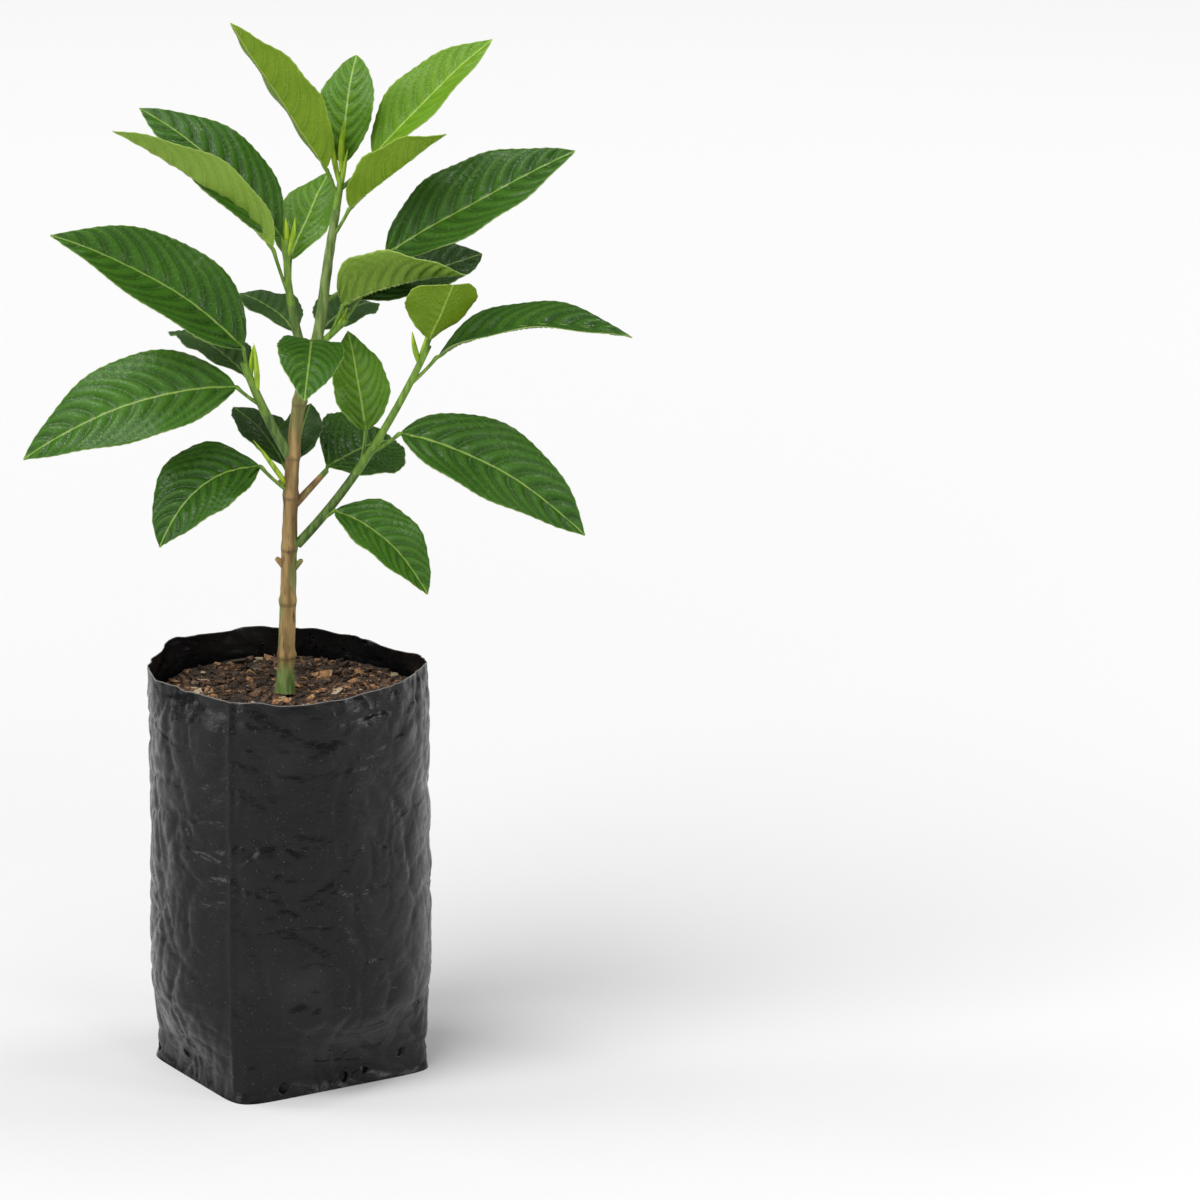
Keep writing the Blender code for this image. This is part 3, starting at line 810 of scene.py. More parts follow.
@dataclass
class Foliage:
    """The masses of leaves, each with its blades and its stalks. Plain sizes are mm."""

    rows: int = 96
    columns: int = 24
    thickness: float = 0.34 * MM
    fullness: float = 1.65
    tip_width: float = 0.35
    quilt: float = 2.1
    young_quilt: float = 0.55
    scallop: float = 0.38
    scallop_pitch: float = 4.6
    fewest_veins: float = 7.0
    vein_pitch: float = 34.0
    rib_groove: float = 0.30
    ripple: float = 0.9
    stalk_radii: tuple[float, ...] = (1.25, 0.95, 0.82, 0.84, 1.05, 0.95, 0.7, 0.35)
    bud_parts: tuple[float, ...] = (0.0, 0.15, 0.35, 0.55, 0.75, 0.9, 1.0)
    bud_radii: tuple[float, ...] = (1.0, 1.15, 1.35, 1.2, 0.85, 0.45, 0.08)
    seed: int = 23

    def half_width(self, leaf: Leaf, u: float) -> float:
        """Half the blade's width.

        Args:
            leaf: the leaf's own sizes.
            u: the fraction of its length.

        Returns:
            Half the width in mm.
        """
        if not 0 < u < 1:
            return 0.0
        rising = (u / leaf.wide) ** (self.fullness * leaf.wide)
        falling = ((1 - u) / (1 - leaf.wide)) ** (self.fullness * (1 - leaf.wide))
        return leaf.width / 2 * rising * falling

    def base(self, leaf: Leaf) -> Vector:
        """The point in mm where a leaf's stalk ends and its blade starts."""
        foot = PATHS[leaf.shoot].at(leaf.at)
        return foot + direction(leaf.heading + leaf.turn, leaf.stalk_rise) * leaf.stalk

    def frame(self, leaf: Leaf, u: float) -> tuple[Vector, Vector, Vector]:
        """Where the midrib runs and how the blade lies there.

        Args:
            leaf: the leaf's own sizes.
            u: the fraction of its length.

        Returns:
            The midrib's point in mm, and the blade's sideways and upward directions.
        """
        base = self.base(leaf)
        chord = direction(leaf.heading, leaf.rise)
        side = chord.cross(Vector((0, 0, 1))).normalized()
        side = Matrix.Rotation(math.radians(leaf.roll), 3, chord) @ side
        up = side.cross(chord)
        tip = base + chord * leaf.length
        crown = base + (chord * 0.45 + up * 2 * leaf.arch + side * 2 * leaf.sweep) * leaf.length
        point = base * (1 - u) ** 2 + crown * (2 * u * (1 - u)) + tip * u ** 2
        along = ((crown - base) * (1 - u) + (tip - crown) * u).normalized()
        side = (side - along * side.dot(along)).normalized()
        return point, side, side.cross(along)

    def relief(self, leaf: Leaf, mark: float, out: float, v: float) -> float:
        """How far the blade bulges between its side veins.

        Args:
            leaf: the leaf's own sizes.
            mark: the count of side veins up to here; a whole number lies on a vein.
            out: how far from the midrib, in mm.
            v: the same from -1 to 1 across the blade.

        Returns:
            The rise in mm.
        """
        quilt = self.quilt * (self.young_quilt if leaf.age is AgeAndShade.YOUNG else 1.0) * leaf.width / 40
        field = abs(math.sin(math.pi * mark)) ** 0.8
        inner = min(1.0, out / 2.6) * max(0.0, 1 - (abs(v) ** 3))
        return quilt * (field - 0.5) * inner

    def blade(self, leaf: Leaf, index: int, rng: random.Random) -> bmesh.types.BMesh:
        """A blade with quilted fields between its side veins and a scalloped margin.

        Args:
            leaf: the leaf's own sizes.
            index: the material slot of its upper side.
            rng: the seeded source of its small differences.

        Returns:
            One sheet, its upper side outwards.
        """
        bm = bmesh.new()
        bmesh.ops.create_grid(bm, x_segments=self.rows, y_segments=self.columns, size=1.0)
        layers = {key: bm.verts.layers.float.new(key)
                  for key in ("vein_mark", "rib_mm", "edge_mm", "tone")}
        veins = self.fewest_veins + leaf.length / self.vein_pitch
        shift, tone, waves = rng.uniform(0, 40), rng.uniform(0, 1), rng.uniform(2.2, 3.4)
        fold = math.radians(leaf.fold)
        frames = [self.frame(leaf, row / self.rows) for row in range(self.rows + 1)]
        for vert in bm.verts:
            row = round((vert.co.x + 1) / 2 * self.rows)
            u, v = row / self.rows, vert.co.y
            point, side, up = frames[row]
            half = max(self.half_width(leaf, u), self.tip_width)
            pitches = leaf.length * u / self.scallop_pitch
            crenate = self.scallop * abs(math.sin(math.pi * pitches + v))
            reach = (half - crenate * abs(v) ** 6 * min(1.0, half / 6)) * v
            out = abs(reach)
            bend = (0.10 * abs(v) + 0.26 * abs(v) ** 2.4) * half / leaf.length / 0.22
            mark = veins * (u - bend) + (0.47 if v > 0 else 0.25)
            relief = self.relief(leaf, mark, out, v)
            relief -= self.rib_groove * math.exp(-(out / 0.9) ** 2) * (1 - u)
            wave = math.sin(2 * math.pi * waves * u + shift + (v > 0) * 1.7)
            ripple = self.ripple * abs(v) ** 2 * wave
            wander = noise.noise(Vector((u * 3 + shift, v * 1.2, shift))) * 0.9
            soft = math.sqrt(out * out + 1.4) - 1.183
            lift = soft * math.sin(fold) + relief + (ripple + wander) * min(1.0, half / 10)
            vert[layers["vein_mark"]] = mark
            vert[layers["rib_mm"]] = out + 0.25 * u
            vert[layers["edge_mm"]] = half * (1 - abs(v))
            vert[layers["tone"]] = tone
            vert.co = (point + side * reach * math.cos(fold) + up * lift) * MM
        bm.normal_update()
        _, _, up = self.frame(leaf, 0.5)
        if sum(face.normal.dot(up) for face in bm.faces) < 0:
            bmesh.ops.reverse_faces(bm, faces=bm.faces)
        for face in bm.faces:
            face.material_index = index
        return bm

    def stalk(self, leaf: Leaf) -> bmesh.types.BMesh:
        """A stalk with a swollen joint at each end, sunk in its limb and its blade.

        Args:
            leaf: the leaf's own sizes.

        Returns:
            The stalk.
        """
        foot, base = PATHS[leaf.shoot].at(leaf.at), self.base(leaf)
        point, _, up = self.frame(leaf, 5.0 / leaf.length)
        sag = Vector((0, 0, -0.04 * leaf.stalk))
        stops = [foot, foot.lerp(base, 0.25) + sag * 0.7, foot.lerp(base, 0.5) + sag,
                 foot.lerp(base, 0.78) + sag * 0.6, foot.lerp(base, 0.93), base - up * 0.35,
                 base.lerp(point, 0.5) - up * 0.5, point - up * 0.35]
        return stem(self.smooth(stops, 4), self.spread(self.stalk_radii, 4), 12)

    @staticmethod
    def smooth(stops: list[Vector], steps: int) -> list[Vector]:
        """More points on a smooth line.

        Args:
            stops: the points that it runs through.
            steps: how many steps it takes between two of them.

        Returns:
            The points.
        """
        place = through(tuple(tuple(stop) for stop in stops))
        count = (len(stops) - 1) * steps
        return [place(i / count) for i in range(count + 1)]

    @staticmethod
    def spread(values: tuple[float, ...], steps: int) -> list[float]:
        """More values between the given ones.

        Args:
            values: the given values.
            steps: how many even steps lie between two of them.

        Returns:
            The values.
        """
        count = (len(values) - 1) * steps
        result = []
        for i in range(count + 1):
            k = min(i // steps, len(values) - 2)
            f = i / steps - k
            result.append(values[k] * (1 - f) + values[k + 1] * f)
        return result

    def bud(self, spec: Bud, rng: random.Random) -> bmesh.types.BMesh:
        """A slender pointed bud with a slight seeded bend.

        Args:
            spec: the bud's own sizes.
            rng: the seeded source of its bend.

        Returns:
            The bud, its faces in the second material slot.
        """
        foot = PATHS[spec.shoot].at(spec.at)
        lean = direction(spec.heading + rng.uniform(-8, 8), spec.rise)
        bend = Vector((rng.uniform(-1, 1), rng.uniform(-1, 1), 0)) * spec.length * 0.05
        stops = [foot + lean * spec.length * t + bend * 4 * t * (1 - t) for t in self.bud_parts]
        made = stem(self.smooth(stops, 3), self.spread(self.bud_radii, 3), 10)
        for face in made.faces:
            face.material_index = 1
        return made

    def tip_stem(self, mass: str) -> list[bmesh.types.BMesh]:
        """The stretch of each shoot that a mass grows on.

        Args:
            mass: the mass's name.

        Returns:
            The stems, none for a mass that hangs on a bare limb.
        """
        limbs = {leaf.shoot for leaf in MASSES[mass]} | {bud.shoot for bud in BUDS.get(mass, ())}
        starts = [("trunk", TRUNK_TOP_MM)] if mass == "crown_tip" else []
        for name in sorted(limbs & set(SHOOTS)):
            bare = SHOOTS[name].bare
            if min(leaf.at for leaf in MASSES[mass]) > bare:
                starts.append((name, bare))
        made = []
        for name, start in starts:
            end = PATHS[name].length
            count = max(4, round((end - start) / 2.5))
            marks = [start + (end - start) * i / count for i in range(count + 1)]
            radii = [limb_radius(name, mark) for mark in marks]
            made.append(stem([PATHS[name].at(mark) for mark in marks], radii, 16))
        return made

    def build(self) -> None:
        """Build and dress every mass: its leaves, then its stalks and buds."""
        rng = random.Random(self.seed)
        green = GreenFinish("green_stalk", (0.075, 0.16, 0.014), (0.16, 0.28, 0.032)).material()
        fresh = GreenFinish("fresh_bud", (0.17, 0.30, 0.010), (0.36, 0.50, 0.03)).material()
        sides = {age: (UPPER[age].material(), UNDER[age].material()) for age in AgeAndShade}
        for mass, leaves in MASSES.items():
            ages_and_shades = list(dict.fromkeys(leaf.age for leaf in leaves))
            slots = [side for age in ages_and_shades for side in sides[age]]
            blades = [self.blade(leaf, 2 * ages_and_shades.index(leaf.age), rng) for leaf in leaves]
            piece = joined(mass + "_leaves", blades, slots, 80.0)
            solid = piece.modifiers.new("thickness", "SOLIDIFY")
            solid.thickness = self.thickness
            solid.offset = -1.0
            solid.material_offset = 1
            solid.material_offset_rim = 1
            slot = "young_foliage" if mass in ("crown_tip", "upper_right") else "foliage"
            settle(piece, slot, mass + "_foliage")
            parts = self.tip_stem(mass) + [self.stalk(leaf) for leaf in leaves]
            parts += [self.bud(spec, rng) for spec in BUDS.get(mass, ())]
            settle(joined(mass + "_stalks", parts, [green, fresh]), slot)


@dataclass
class Limbs:
    """The trunk and its side shoots, with bark relief, leaf scars and stubs, in mm."""

    step: float = 0.9
    sides: int = 40
    grain: float = 0.16
    lumps: float = 0.22
    scar: float = 0.55
    ring_drop: float = 1.5
    ring_width: float = 0.9
    stubs: tuple[tuple[float, float, float, float], ...] = (
        (58.5, 200, 5.5, 1.5), (57.0, 350, 6.0, 1.4), (95.0, 160, 5.0, 1.3),
        (152.0, 200, 3.5, 1.1), (153.0, 20, 3.5, 1.1))

    def bark(self, point: Vector, turn: float) -> float:
        """Relief of the bark.

        Args:
            point: the place in mm.
            turn: the place's turn of 0..1 round the stem.

        Returns:
            The rise in mm.
        """
        fissure = noise.noise(Vector((point.x * 1.1, point.y * 1.1, point.z * 0.12)))
        lumps = noise.noise(Vector((point.x * 0.35, point.y * 0.35, point.z * 0.2)))
        scar = 0.0
        for order, node in enumerate(TRUNK_NODES):
            off = math.remainder(turn * 2 * math.pi - order * 2.4, 2 * math.pi)
            rise = point.z - PATHS["trunk"].at(node).z
            scar += self.scar * math.exp(-(off / 0.6) ** 2 - (rise / 1.6) ** 2)
        return self.grain * fissure + self.lumps * lumps + scar

    def tube(self, name: str, start: float, end: float) -> bmesh.types.BMesh:
        """A stretch of the trunk or a shoot.

        Args:
            name: the trunk or the shoot.
            start: where it starts along the limb.
            end: where it ends.

        Returns:
            The stretch.
        """
        count = round((end - start) / self.step)
        marks = [start + (end - start) * i / count for i in range(count + 1)]
        relief = self.bark if name == "trunk" else None
        return stem([PATHS[name].at(mark) for mark in marks],
                    [limb_radius(name, mark) for mark in marks], self.sides, relief)

    def stub(self, at: float, heading: float, length: float, radius: float) -> bmesh.types.BMesh:
        """A short dead stub where a leaf or twig was.

        Args:
            at: how far up the trunk.
            heading: its turn from +X in degrees.
            length: how far it stands out of the bark.
            radius: its radius.

        Returns:
            The stub.
        """
        foot = PATHS["trunk"].at(at)
        lean = direction(heading, 48)
        reach = limb_radius("trunk", at) + length
        stops = [foot + lean * reach * t for t in (0, 0.4, 0.6, 0.8, 0.95, 1.0)]
        return stem(stops, [radius * k for k in (1.3, 1.15, 1.0, 0.9, 0.75, 0.35)], 14)

    def build(self) -> None:
        """Build the trunk with its stubs, then each side shoot's bare part."""
        bark = BarkFinish().material()
        green = GreenFinish("green_wood", (0.040, 0.090, 0.014), (0.115, 0.19, 0.036)).material()
        parts = [self.tube("trunk", 0.0, TRUNK_TOP_MM)] + [self.stub(*spec) for spec in self.stubs]
        trunk = joined("trunk_bark", parts, [bark])
        heights = [PATHS["trunk"].at(node - self.ring_drop).z for node in TRUNK_NODES]
        ring = trunk.data.attributes.new("ring", "FLOAT", "POINT")
        for vert, mark in zip(trunk.data.vertices, ring.data):
            off = min(abs(vert.co.z / MM - height) for height in heights)
            mark.value = math.exp(-(off / self.ring_width) ** 2)
        settle(trunk, "bark", "trunk")
        for name, shoot in SHOOTS.items():
            material, slot = (bark, "bark") if name == "right_spur" else (green, "green_stem")
            piece = joined(name + "_wood", [self.tube(name, 1.0, shoot.bare)], [material])
            settle(piece, slot, name + "_bough")


@dataclass
class NurseryBag:
    """The filled bag: crinkled film with a folded square base and a wavy rim."""

    radius: float = 65.5 * MM
    height: float = 195 * MM
    film: float = 0.32 * MM
    base_radius: float = 70 * MM
    corners: tuple[float, ...] = (-9.5, 72.0, 169.5, 252.0)
    softness: float = 9
    base_flat: float = 5 * MM
    base_fade: float = 46 * MM
    folds: tuple[float, ...] = (2.0, 177.0)
    fold_lift: float = 1.0 * MM
    waves: tuple[tuple[float, float, float], ...] = (
        (44.0, -4.2 * MM, 30.0), (158.0, 2.8 * MM, 30.0), (338.0, 2.0 * MM, 40.0))
    holes: tuple[tuple[float, float], ...] = (
        (175.0, 5.5 * MM), (268.0, 5.0 * MM), (337.0, 12.5 * MM), (205.0, 12.0 * MM),
        (305.0, 5.0 * MM), (25.0, 6.0 * MM), (95.0, 12.0 * MM), (140.0, 6.0 * MM))
    hole_radius: float = 2.3 * MM
    notch: tuple[float, float, float] = (318.5, 6.5 * MM, 2.6 * MM)
    crease: float = 247.0
    columns: int = 300
    outer_rows: int = 110
    inner_rows: int = 24
    creases: tuple[tuple[float, float, float], ...] = (
        (1.15, 0.78, 0.13), (2.6, 0.42, 0.12), (6.0, 0.07, 0.20))
    slack: float = 1.9 * MM
    free_from: float = 180 * MM
    lean: float = 5.5 * MM
    nick: float = 1.6 * MM

    def corner_reach(self, heading: float) -> float:
        """Distance from the middle to the square base's edge.

        Args:
            heading: the direction in radians.

        Returns:
            The distance in metres.
        """
        reach = 0.0
        corners = [math.radians(corner) for corner in self.corners]
        for a, b in zip(corners, corners[1:] + [corners[0] + 2 * math.pi]):
            middle, half = (a + b) / 2, (b - a) / 2
            facing = math.cos(heading - middle)
            reach += max(facing / (self.base_radius * math.cos(half)), 0.0) ** self.softness
        return reach ** (-1 / self.softness)

    def reach(self, heading: float, height: float) -> float:
        """Outer radius of the smooth bag.

        Args:
            heading: the direction in radians.
            height: the height in metres.

        Returns:
            The radius in metres.
        """
        fade = min(max((height - self.base_flat) / (self.base_fade - self.base_flat), 0.0), 1.0)
        fade = fade * fade * (3 - 2 * fade)
        result = self.corner_reach(heading) * (1 - fade) + self.radius * fade
        for fold in self.folds:
            off = math.remainder(heading - math.radians(fold), 2 * math.pi)
            result += self.fold_lift * fade * math.exp(-(off / 0.10) ** 2)
        return result

    def rim(self, heading: float) -> float:
        """Height of the cut rim.

        Args:
            heading: the direction in radians.

        Returns:
            The height in metres.
        """
        height = self.height
        for middle, lift, spread in self.waves:
            off = math.remainder(heading - math.radians(middle), 2 * math.pi)
            height += lift * math.exp(-(off / math.radians(spread)) ** 2)
        return height

    def crinkle(self, heading: float, height: float) -> float:
        """How far the film is dented inwards.

        Args:
            heading: the direction in radians.
            height: the height in metres.

        Returns:
            The dent in metres.
        """
        spot = Vector((math.cos(heading), math.sin(heading), 0)) * 2.0
        spot.z = height / self.radius * 2.2
        warp = Vector((noise.noise(spot * 0.9), noise.noise(spot * 0.9 + Vector((5, 1, 2))),
                       noise.noise(spot * 0.9 + Vector((1, 7, 3)))))
        broad = noise.noise(spot * 0.7 + Vector((7, 3, 1)))
        patch = 0.35 + 0.65 * min(max(noise.noise(spot * 0.6 + Vector((2, 9, 4))) + 0.55, 0.0), 1.0)
        dent = 0.45 * (broad + 0.5)
        for scale, depth, width in self.creases:
            near, next_near = noise.voronoi((spot + warp * 0.55) * scale)[0][:2]
            dent += depth * patch * math.exp(-(next_near - near) / width)
        off = math.remainder(heading - math.radians(self.crease), 2 * math.pi)
        dent -= 0.55 * math.exp(-(off / 0.018) ** 2)
        return self.slack * min(max(dent, 0.0), 1.5)

    def sway(self, heading: float, height: float) -> float:
        """How far the free film above the bed leans inwards.

        Args:
            heading: the direction in radians.
            height: the height in metres.

        Returns:
            The lean in metres.
        """
        free = max(0.0, height - self.free_from) / (self.height - self.free_from)
        spot = Vector((math.cos(heading), math.sin(heading), 0.4)) * 2.3
        return self.lean * min(free, 1.2) * max(0.0, noise.noise(spot) + 0.25)

    def skin(self, heading: float, height: float, inset: float) -> Vector:
        """A point of the crinkled film.

        Args:
            heading: the direction in radians.
            height: the height in metres.
            inset: how far inside the outer face, in metres.

        Returns:
            The point.
        """
        settled = min(1.0, max(height, 0.0) / (4 * MM))
        distance = self.reach(heading, height) - inset - self.crinkle(heading, height) * settled
        distance -= self.sway(heading, height)
        return Vector((distance * math.cos(heading), distance * math.sin(heading), height))

    def ragged_rim(self, heading: float) -> float:
        """Height of the rim with its small seeded dips."""
        ragged = noise.noise(Vector((math.cos(heading), math.sin(heading), 0.2)) * 4.5)
        return self.rim(heading) - 0.2 * MM - self.nick * max(0.0, ragged + 0.2)

    def shell(self) -> bmesh.types.BMesh:
        """The film as one thin closed wall: up the outside, over the rim and down inside.

        Returns:
            The wall.
        """
        outer, inner = self.outer_rows, self.inner_rows

        def place(turn: float, row: int) -> Vector:
            """A point of the wall; the rows inside match those outside.

            Args:
                turn: the turn of 0..1 round the bag.
                row: the row up the outside and on down the inside.

            Returns:
                The point in metres.
            """
            heading = turn * 2 * math.pi
            level = row if row <= outer else 2 * outer + 1 - row
            height = self.ragged_rim(heading) * (level / outer) ** 1.15
            return self.skin(heading, height, 0.0 if row <= outer else self.film)

        return rolled(self.columns, outer + inner, place)

    def cutters(self) -> list[bpy.types.Object]:
        """The drain holes' punches and the small torn notch.

        Returns:
            One object for each.
        """
        made = []
        specs = [(heading, height, self.hole_radius, 20) for heading, height in self.holes]
        specs.append((*self.notch, 3))
        for number, (heading, height, radius, sides) in enumerate(specs):
            turn = math.radians(heading)
            middle = self.skin(turn, height, 0.0)
            facing = Matrix.Rotation(turn, 4, "Z") @ Matrix.Rotation(math.pi / 2, 4, "Y")
            bm = bmesh.new()
            bmesh.ops.create_cone(bm, cap_ends=True, segments=sides, radius1=radius, radius2=radius,
                                  depth=3.2 * MM, matrix=Matrix.Translation(middle) @ facing)
            made.append(joined(f"punch_{number}", [bm], []))
        return made

    def build(self) -> None:
        """Build the film, punch its holes and dress it."""
        bag = joined("bag_film", [self.shell()], [FilmFinish().material()], 60.0)
        punches = self.cutters()
        helpers = bpy.data.collections.new("punches")
        bpy.context.scene.collection.children.link(helpers)
        for punch in punches:
            helpers.objects.link(punch)
        cut = bag.modifiers.new("holes", "BOOLEAN")
        cut.operand_type = "COLLECTION"
        cut.collection = helpers
        cut.operation = "DIFFERENCE"
        cut.solver = "EXACT"
        graph = bpy.context.evaluated_depsgraph_get()
        mesh = bpy.data.meshes.new_from_object(bag.evaluated_get(graph))
        bag.modifiers.clear()
        bag.data = mesh
        for punch in punches:
            bpy.data.objects.remove(punch, do_unlink=True)
        bpy.data.collections.remove(helpers)
        below = mesh.attributes.new("below_rim_mm", "FLOAT", "POINT")
        for vert, mark in zip(mesh.vertices, below.data):
            mark.value = (self.ragged_rim(math.atan2(vert.co.y, vert.co.x)) - vert.co.z) / MM
        settle(bag, "bag_film", "grow_bag")


@dataclass
class PottingMix:
    """The bed of bark chips and fibre in the bag."""

    bag: NurseryBag
    height: float = 181.0 * MM
    rings: int = 60
    columns: int = 180
    depth: float = 14 * MM
    side_gap: float = 3.6 * MM
    chips: int = 1500
    chip_lengths: tuple[float, ...] = (1.6, 2.2, 3.0, 4.2, 6.5)
    fibres: int = 130
    seed: int = 5

    def level(self, x: float, y: float) -> float:
        """Height of the bed's lumpy top.

        Args:
            x: the place in metres.
            y: the place in metres.

        Returns:
            The height in metres.
        """
        broad = noise.noise(Vector((x, y, 0.3)) * 55) * 1.5
        fine = noise.noise(Vector((x, y, 2)) * 190) * 0.9
        return self.height - 1.6 * MM + (broad + fine) * MM

    def bed(self) -> bmesh.types.BMesh:
        """The dark bed under the chips, closed below.

        Returns:
            The bed.
        """
        bottom = self.height - self.depth
        reach = self.bag.radius - self.side_gap

        def place(turn: float, row: int) -> Vector:
            """A point of the bed: its foot first, then its top inwards.

            Args:
                turn: the turn of 0..1 round the bed.
                row: 0 for the foot, then rings inwards.

            Returns:
                The point in metres.
            """
            heading = turn * 2 * math.pi
            if row == 0:
                return Vector((reach * math.cos(heading), reach * math.sin(heading), bottom))
            distance = reach * (1 - (row - 1) / self.rings * 0.995)
            x, y = distance * math.cos(heading), distance * math.sin(heading)
            return Vector((x, y, self.level(x, y)))

        return rolled(self.columns, self.rings + 1, place)

    def chip(self, rng: random.Random) -> bmesh.types.BMesh:
        """One bark chip: a jittered block with cut corners that lies nearly flat.

        Args:
            rng: the seeded source of its size and place.

        Returns:
            The chip.
        """
        bm = bmesh.new()
        bmesh.ops.create_cube(bm, size=1.0)
        bmesh.ops.bevel(bm, geom=bm.edges[:], offset=0.12, segments=1, affect="EDGES",
                        profile=0.5, material=-1)
        long = rng.choice(self.chip_lengths) * rng.uniform(0.8, 1.3)
        scale = Vector((long, long * rng.uniform(0.3, 0.75), rng.uniform(0.7, 1.7))) * MM
        for vert in bm.verts:
            jitter = Vector([rng.uniform(-0.13, 0.13) for _ in range(3)])
            spot = vert.co + jitter
            vert.co = Vector((spot.x * scale.x, spot.y * scale.y, spot.z * scale.z))
        heading, spread = rng.uniform(0, 2 * math.pi), math.sqrt(rng.random())
        distance = spread * (self.bag.radius - 6.0 * MM)
        x, y = distance * math.cos(heading), distance * math.sin(heading)
        turn = Matrix.Rotation(rng.uniform(0, 2 * math.pi), 4, "Z")
        tilt = Matrix.Rotation(rng.gauss(0, 0.28), 4, "X") @ Matrix.Rotation(rng.gauss(0, 0.28), 4, "Y")
        lift = self.level(x, y) + rng.uniform(-0.2, 0.9) * MM
        bmesh.ops.transform(bm, verts=bm.verts, matrix=Matrix.Translation((x, y, lift)) @ turn @ tilt)
        return bm

    def fibre(self, rng: random.Random) -> bmesh.types.BMesh:
        """One thin bent fibre lying on the bed.

        Args:
            rng: the seeded source of its size and place.

        Returns:
            The fibre.
        """
        heading, spread = rng.uniform(0, 2 * math.pi), math.sqrt(rng.random())
        distance = spread * (self.bag.radius - 13 * MM)
        middle = Vector((distance * math.cos(heading), distance * math.sin(heading), 0))
        lie, bend = rng.uniform(0, math.pi), rng.uniform(-0.8, 0.8)
        length = rng.uniform(6, 15) * MM
        stops = []
        for i in range(7):
            t = i / 6 - 0.5
            angle = lie + bend * t * 2
            spot = middle + Vector((math.cos(angle), math.sin(angle), 0)) * length * t
            spot.z = self.level(spot.x, spot.y) + (0.9 + 0.8 * math.cos(3 * t)) * MM
            stops.append(spot / MM)
        radius = rng.uniform(0.14, 0.32)
        return stem(stops, [radius * k for k in (0.5, 0.9, 1, 1, 1, 0.8, 0.4)], 6)

    def build(self) -> None:
        """Build the bed, then the chips and fibres by colour."""
        rng = random.Random(self.seed)
        bed = joined("mix_bed", [self.bed()], [MIX_FINISHES[0].material()])
        settle(bed, "potting_mix", "potting_mix")
        for finish, (name, share) in zip(MIX_FINISHES, MIX_SHARES.items()):
            parts = [self.chip(rng) for _ in range(round(self.chips * share))]
            parts += [self.fibre(rng) for _ in range(round(self.fibres * share))]
            material = bed.data.materials[0] if name == "dark" else finish.material()
            settle(joined(f"mix_{name}_chips", parts, [material], 25.0), "potting_mix")


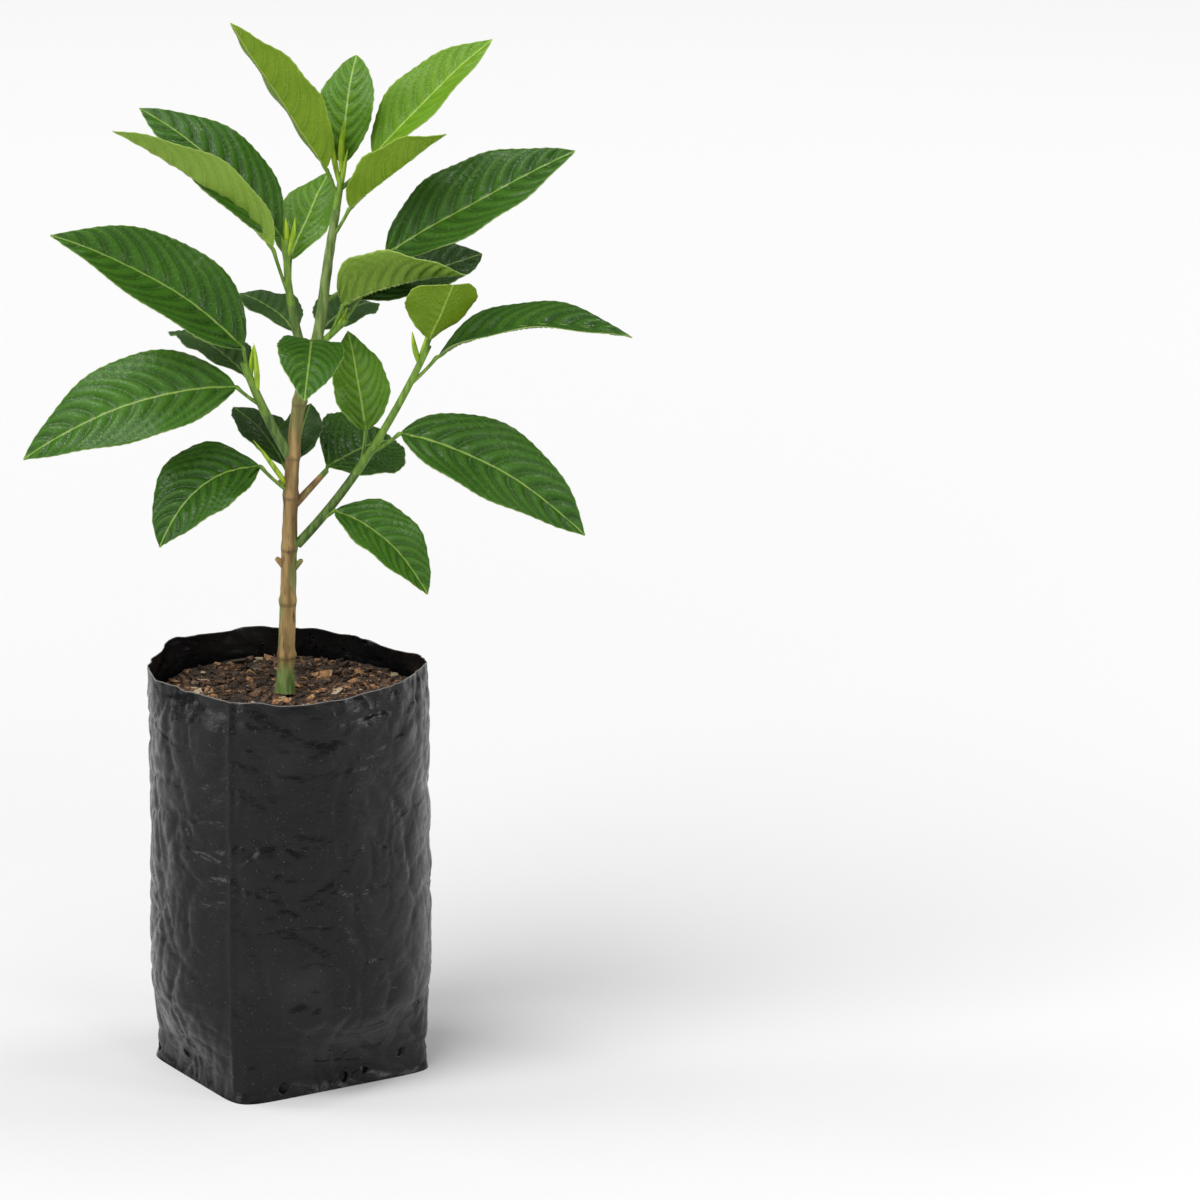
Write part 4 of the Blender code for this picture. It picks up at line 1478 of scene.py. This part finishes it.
@dataclass
class Studio:
    """The pale floor, the soft lights and the camera."""

    camera_place: tuple[float, float, float] = (0.145, -4.0, 1.40)
    pitch: float = 16.36
    lens: float = 270.0
    sensor: float = 36.0
    floor_half: float = 120.0
    lights: tuple[tuple[tuple[float, float, float], float, float], ...] = (
        ((-0.9, 0.2, 1.8), 0.55, 9.0), ((0.8, 0.3, 1.9), 0.5, 7.0), ((-1.5, -0.9, 0.5), 0.6, 7.0),
        ((1.6, -0.7, 0.5), 0.5, 7.0), ((0.8, -1.7, 2.0), 0.5, 6.0))
    aim: tuple[float, float, float] = (0.0, 0.0, 0.28)
    sun: float = 2.3
    sun_spread: float = 40.0
    sun_turn: tuple[float, float] = (28.0, -24.0)
    air: float = 0.36
    mirrored_air: float = 0.16
    # floor colour near the bag, darker as painted shade
    near_floor_painted_shade: float = 0.68
    far_floor: float = 0.93

    def floor(self) -> None:
        """A large pale floor, a little darker round the bag: painted shade there, which also offsets
        the soft boxes' extra light near it.
        """
        bm = bmesh.new()
        bmesh.ops.create_grid(bm, x_segments=1, y_segments=1, size=self.floor_half)
        recipe = Recipe("pale_floor")
        distance = recipe.node("ShaderNodeVectorMath", {"Vector": recipe.place()},
                               operation="LENGTH").outputs["Value"]
        # painted shade: the floor's colour darkens towards the bag
        colour = recipe.mix(recipe.ramp(distance, 0.1, 2.2), (self.near_floor_painted_shade,) * 3,
                            (self.far_floor,) * 3)
        material = recipe.dress(colour, 0.8)
        joined("studio_floor", [bm], [material])

    def light(self, number: int, place: tuple[float, float, float], size: float,
              watts: float) -> None:
        """A square soft box that faces the plant.

        Args:
            number: its place in the list.
            place: where it stands.
            size: its width.
            watts: its power.
        """
        data = bpy.data.lights.new(f"soft_box_{number}", "AREA")
        data.shape = "SQUARE"
        data.size = size
        data.energy = watts
        made = bpy.data.objects.new(data.name, data)
        made.location = place
        aim = Vector(self.aim) - Vector(place)
        made.rotation_euler = aim.to_track_quat("-Z", "Y").to_euler()
        made.visible_camera = False
        bpy.context.scene.collection.objects.link(made)

    def world(self) -> None:
        """Even white air, dimmer where it is mirrored in gloss."""
        world = bpy.data.worlds.new("studio_air")
        world.use_nodes = True
        back = world.node_tree.nodes["Background"]
        back.inputs["Color"].default_value = (1.0, 1.0, 1.0, 1.0)
        path = world.node_tree.nodes.new("ShaderNodeLightPath")
        dim = world.node_tree.nodes.new("ShaderNodeMapRange")
        dim.inputs["To Min"].default_value = self.air
        dim.inputs["To Max"].default_value = self.mirrored_air
        world.node_tree.links.new(path.outputs["Is Glossy Ray"], dim.inputs["Value"])
        world.node_tree.links.new(dim.outputs[0], back.inputs["Strength"])
        bpy.context.scene.world = world

    def soft_sun(self) -> None:
        """A broad sun from high on the left."""
        sun = bpy.data.lights.new("soft_sun", "SUN")
        sun.energy = self.sun
        sun.angle = math.radians(self.sun_spread)
        holder = bpy.data.objects.new("soft_sun", sun)
        holder.rotation_euler = (*(math.radians(turn) for turn in self.sun_turn), 0.0)
        bpy.context.scene.collection.objects.link(holder)

    def camera(self) -> None:
        """A far camera with a long lens that looks down a little."""
        data = bpy.data.cameras.new("camera")
        data.lens = self.lens
        data.sensor_width = self.sensor
        data.clip_end = 400.0
        camera = bpy.data.objects.new("camera", data)
        camera.location = self.camera_place
        camera.rotation_euler = (math.radians(90 - self.pitch), 0.0, 0.0)
        bpy.context.scene.collection.objects.link(camera)
        bpy.context.scene.camera = camera

    def build(self) -> None:
        """Set the floor, world, lights, camera and the way colours are shown."""
        self.floor()
        self.world()
        for number, (place, size, watts) in enumerate(self.lights):
            self.light(number, place, size, watts)
        self.soft_sun()
        self.camera()
        bpy.context.scene.view_settings.view_transform = "Standard"


def main() -> None:
    """Load the frame, then build the studio, limbs, foliage, bag and mix."""
    logging.basicConfig(level=logging.INFO, format="%(name)s %(message)s")
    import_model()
    Studio().build()
    Limbs().build()
    Foliage().build()
    bag = NurseryBag()
    bag.build()
    PottingMix(bag).build()


if __name__ == "__main__":
    main()
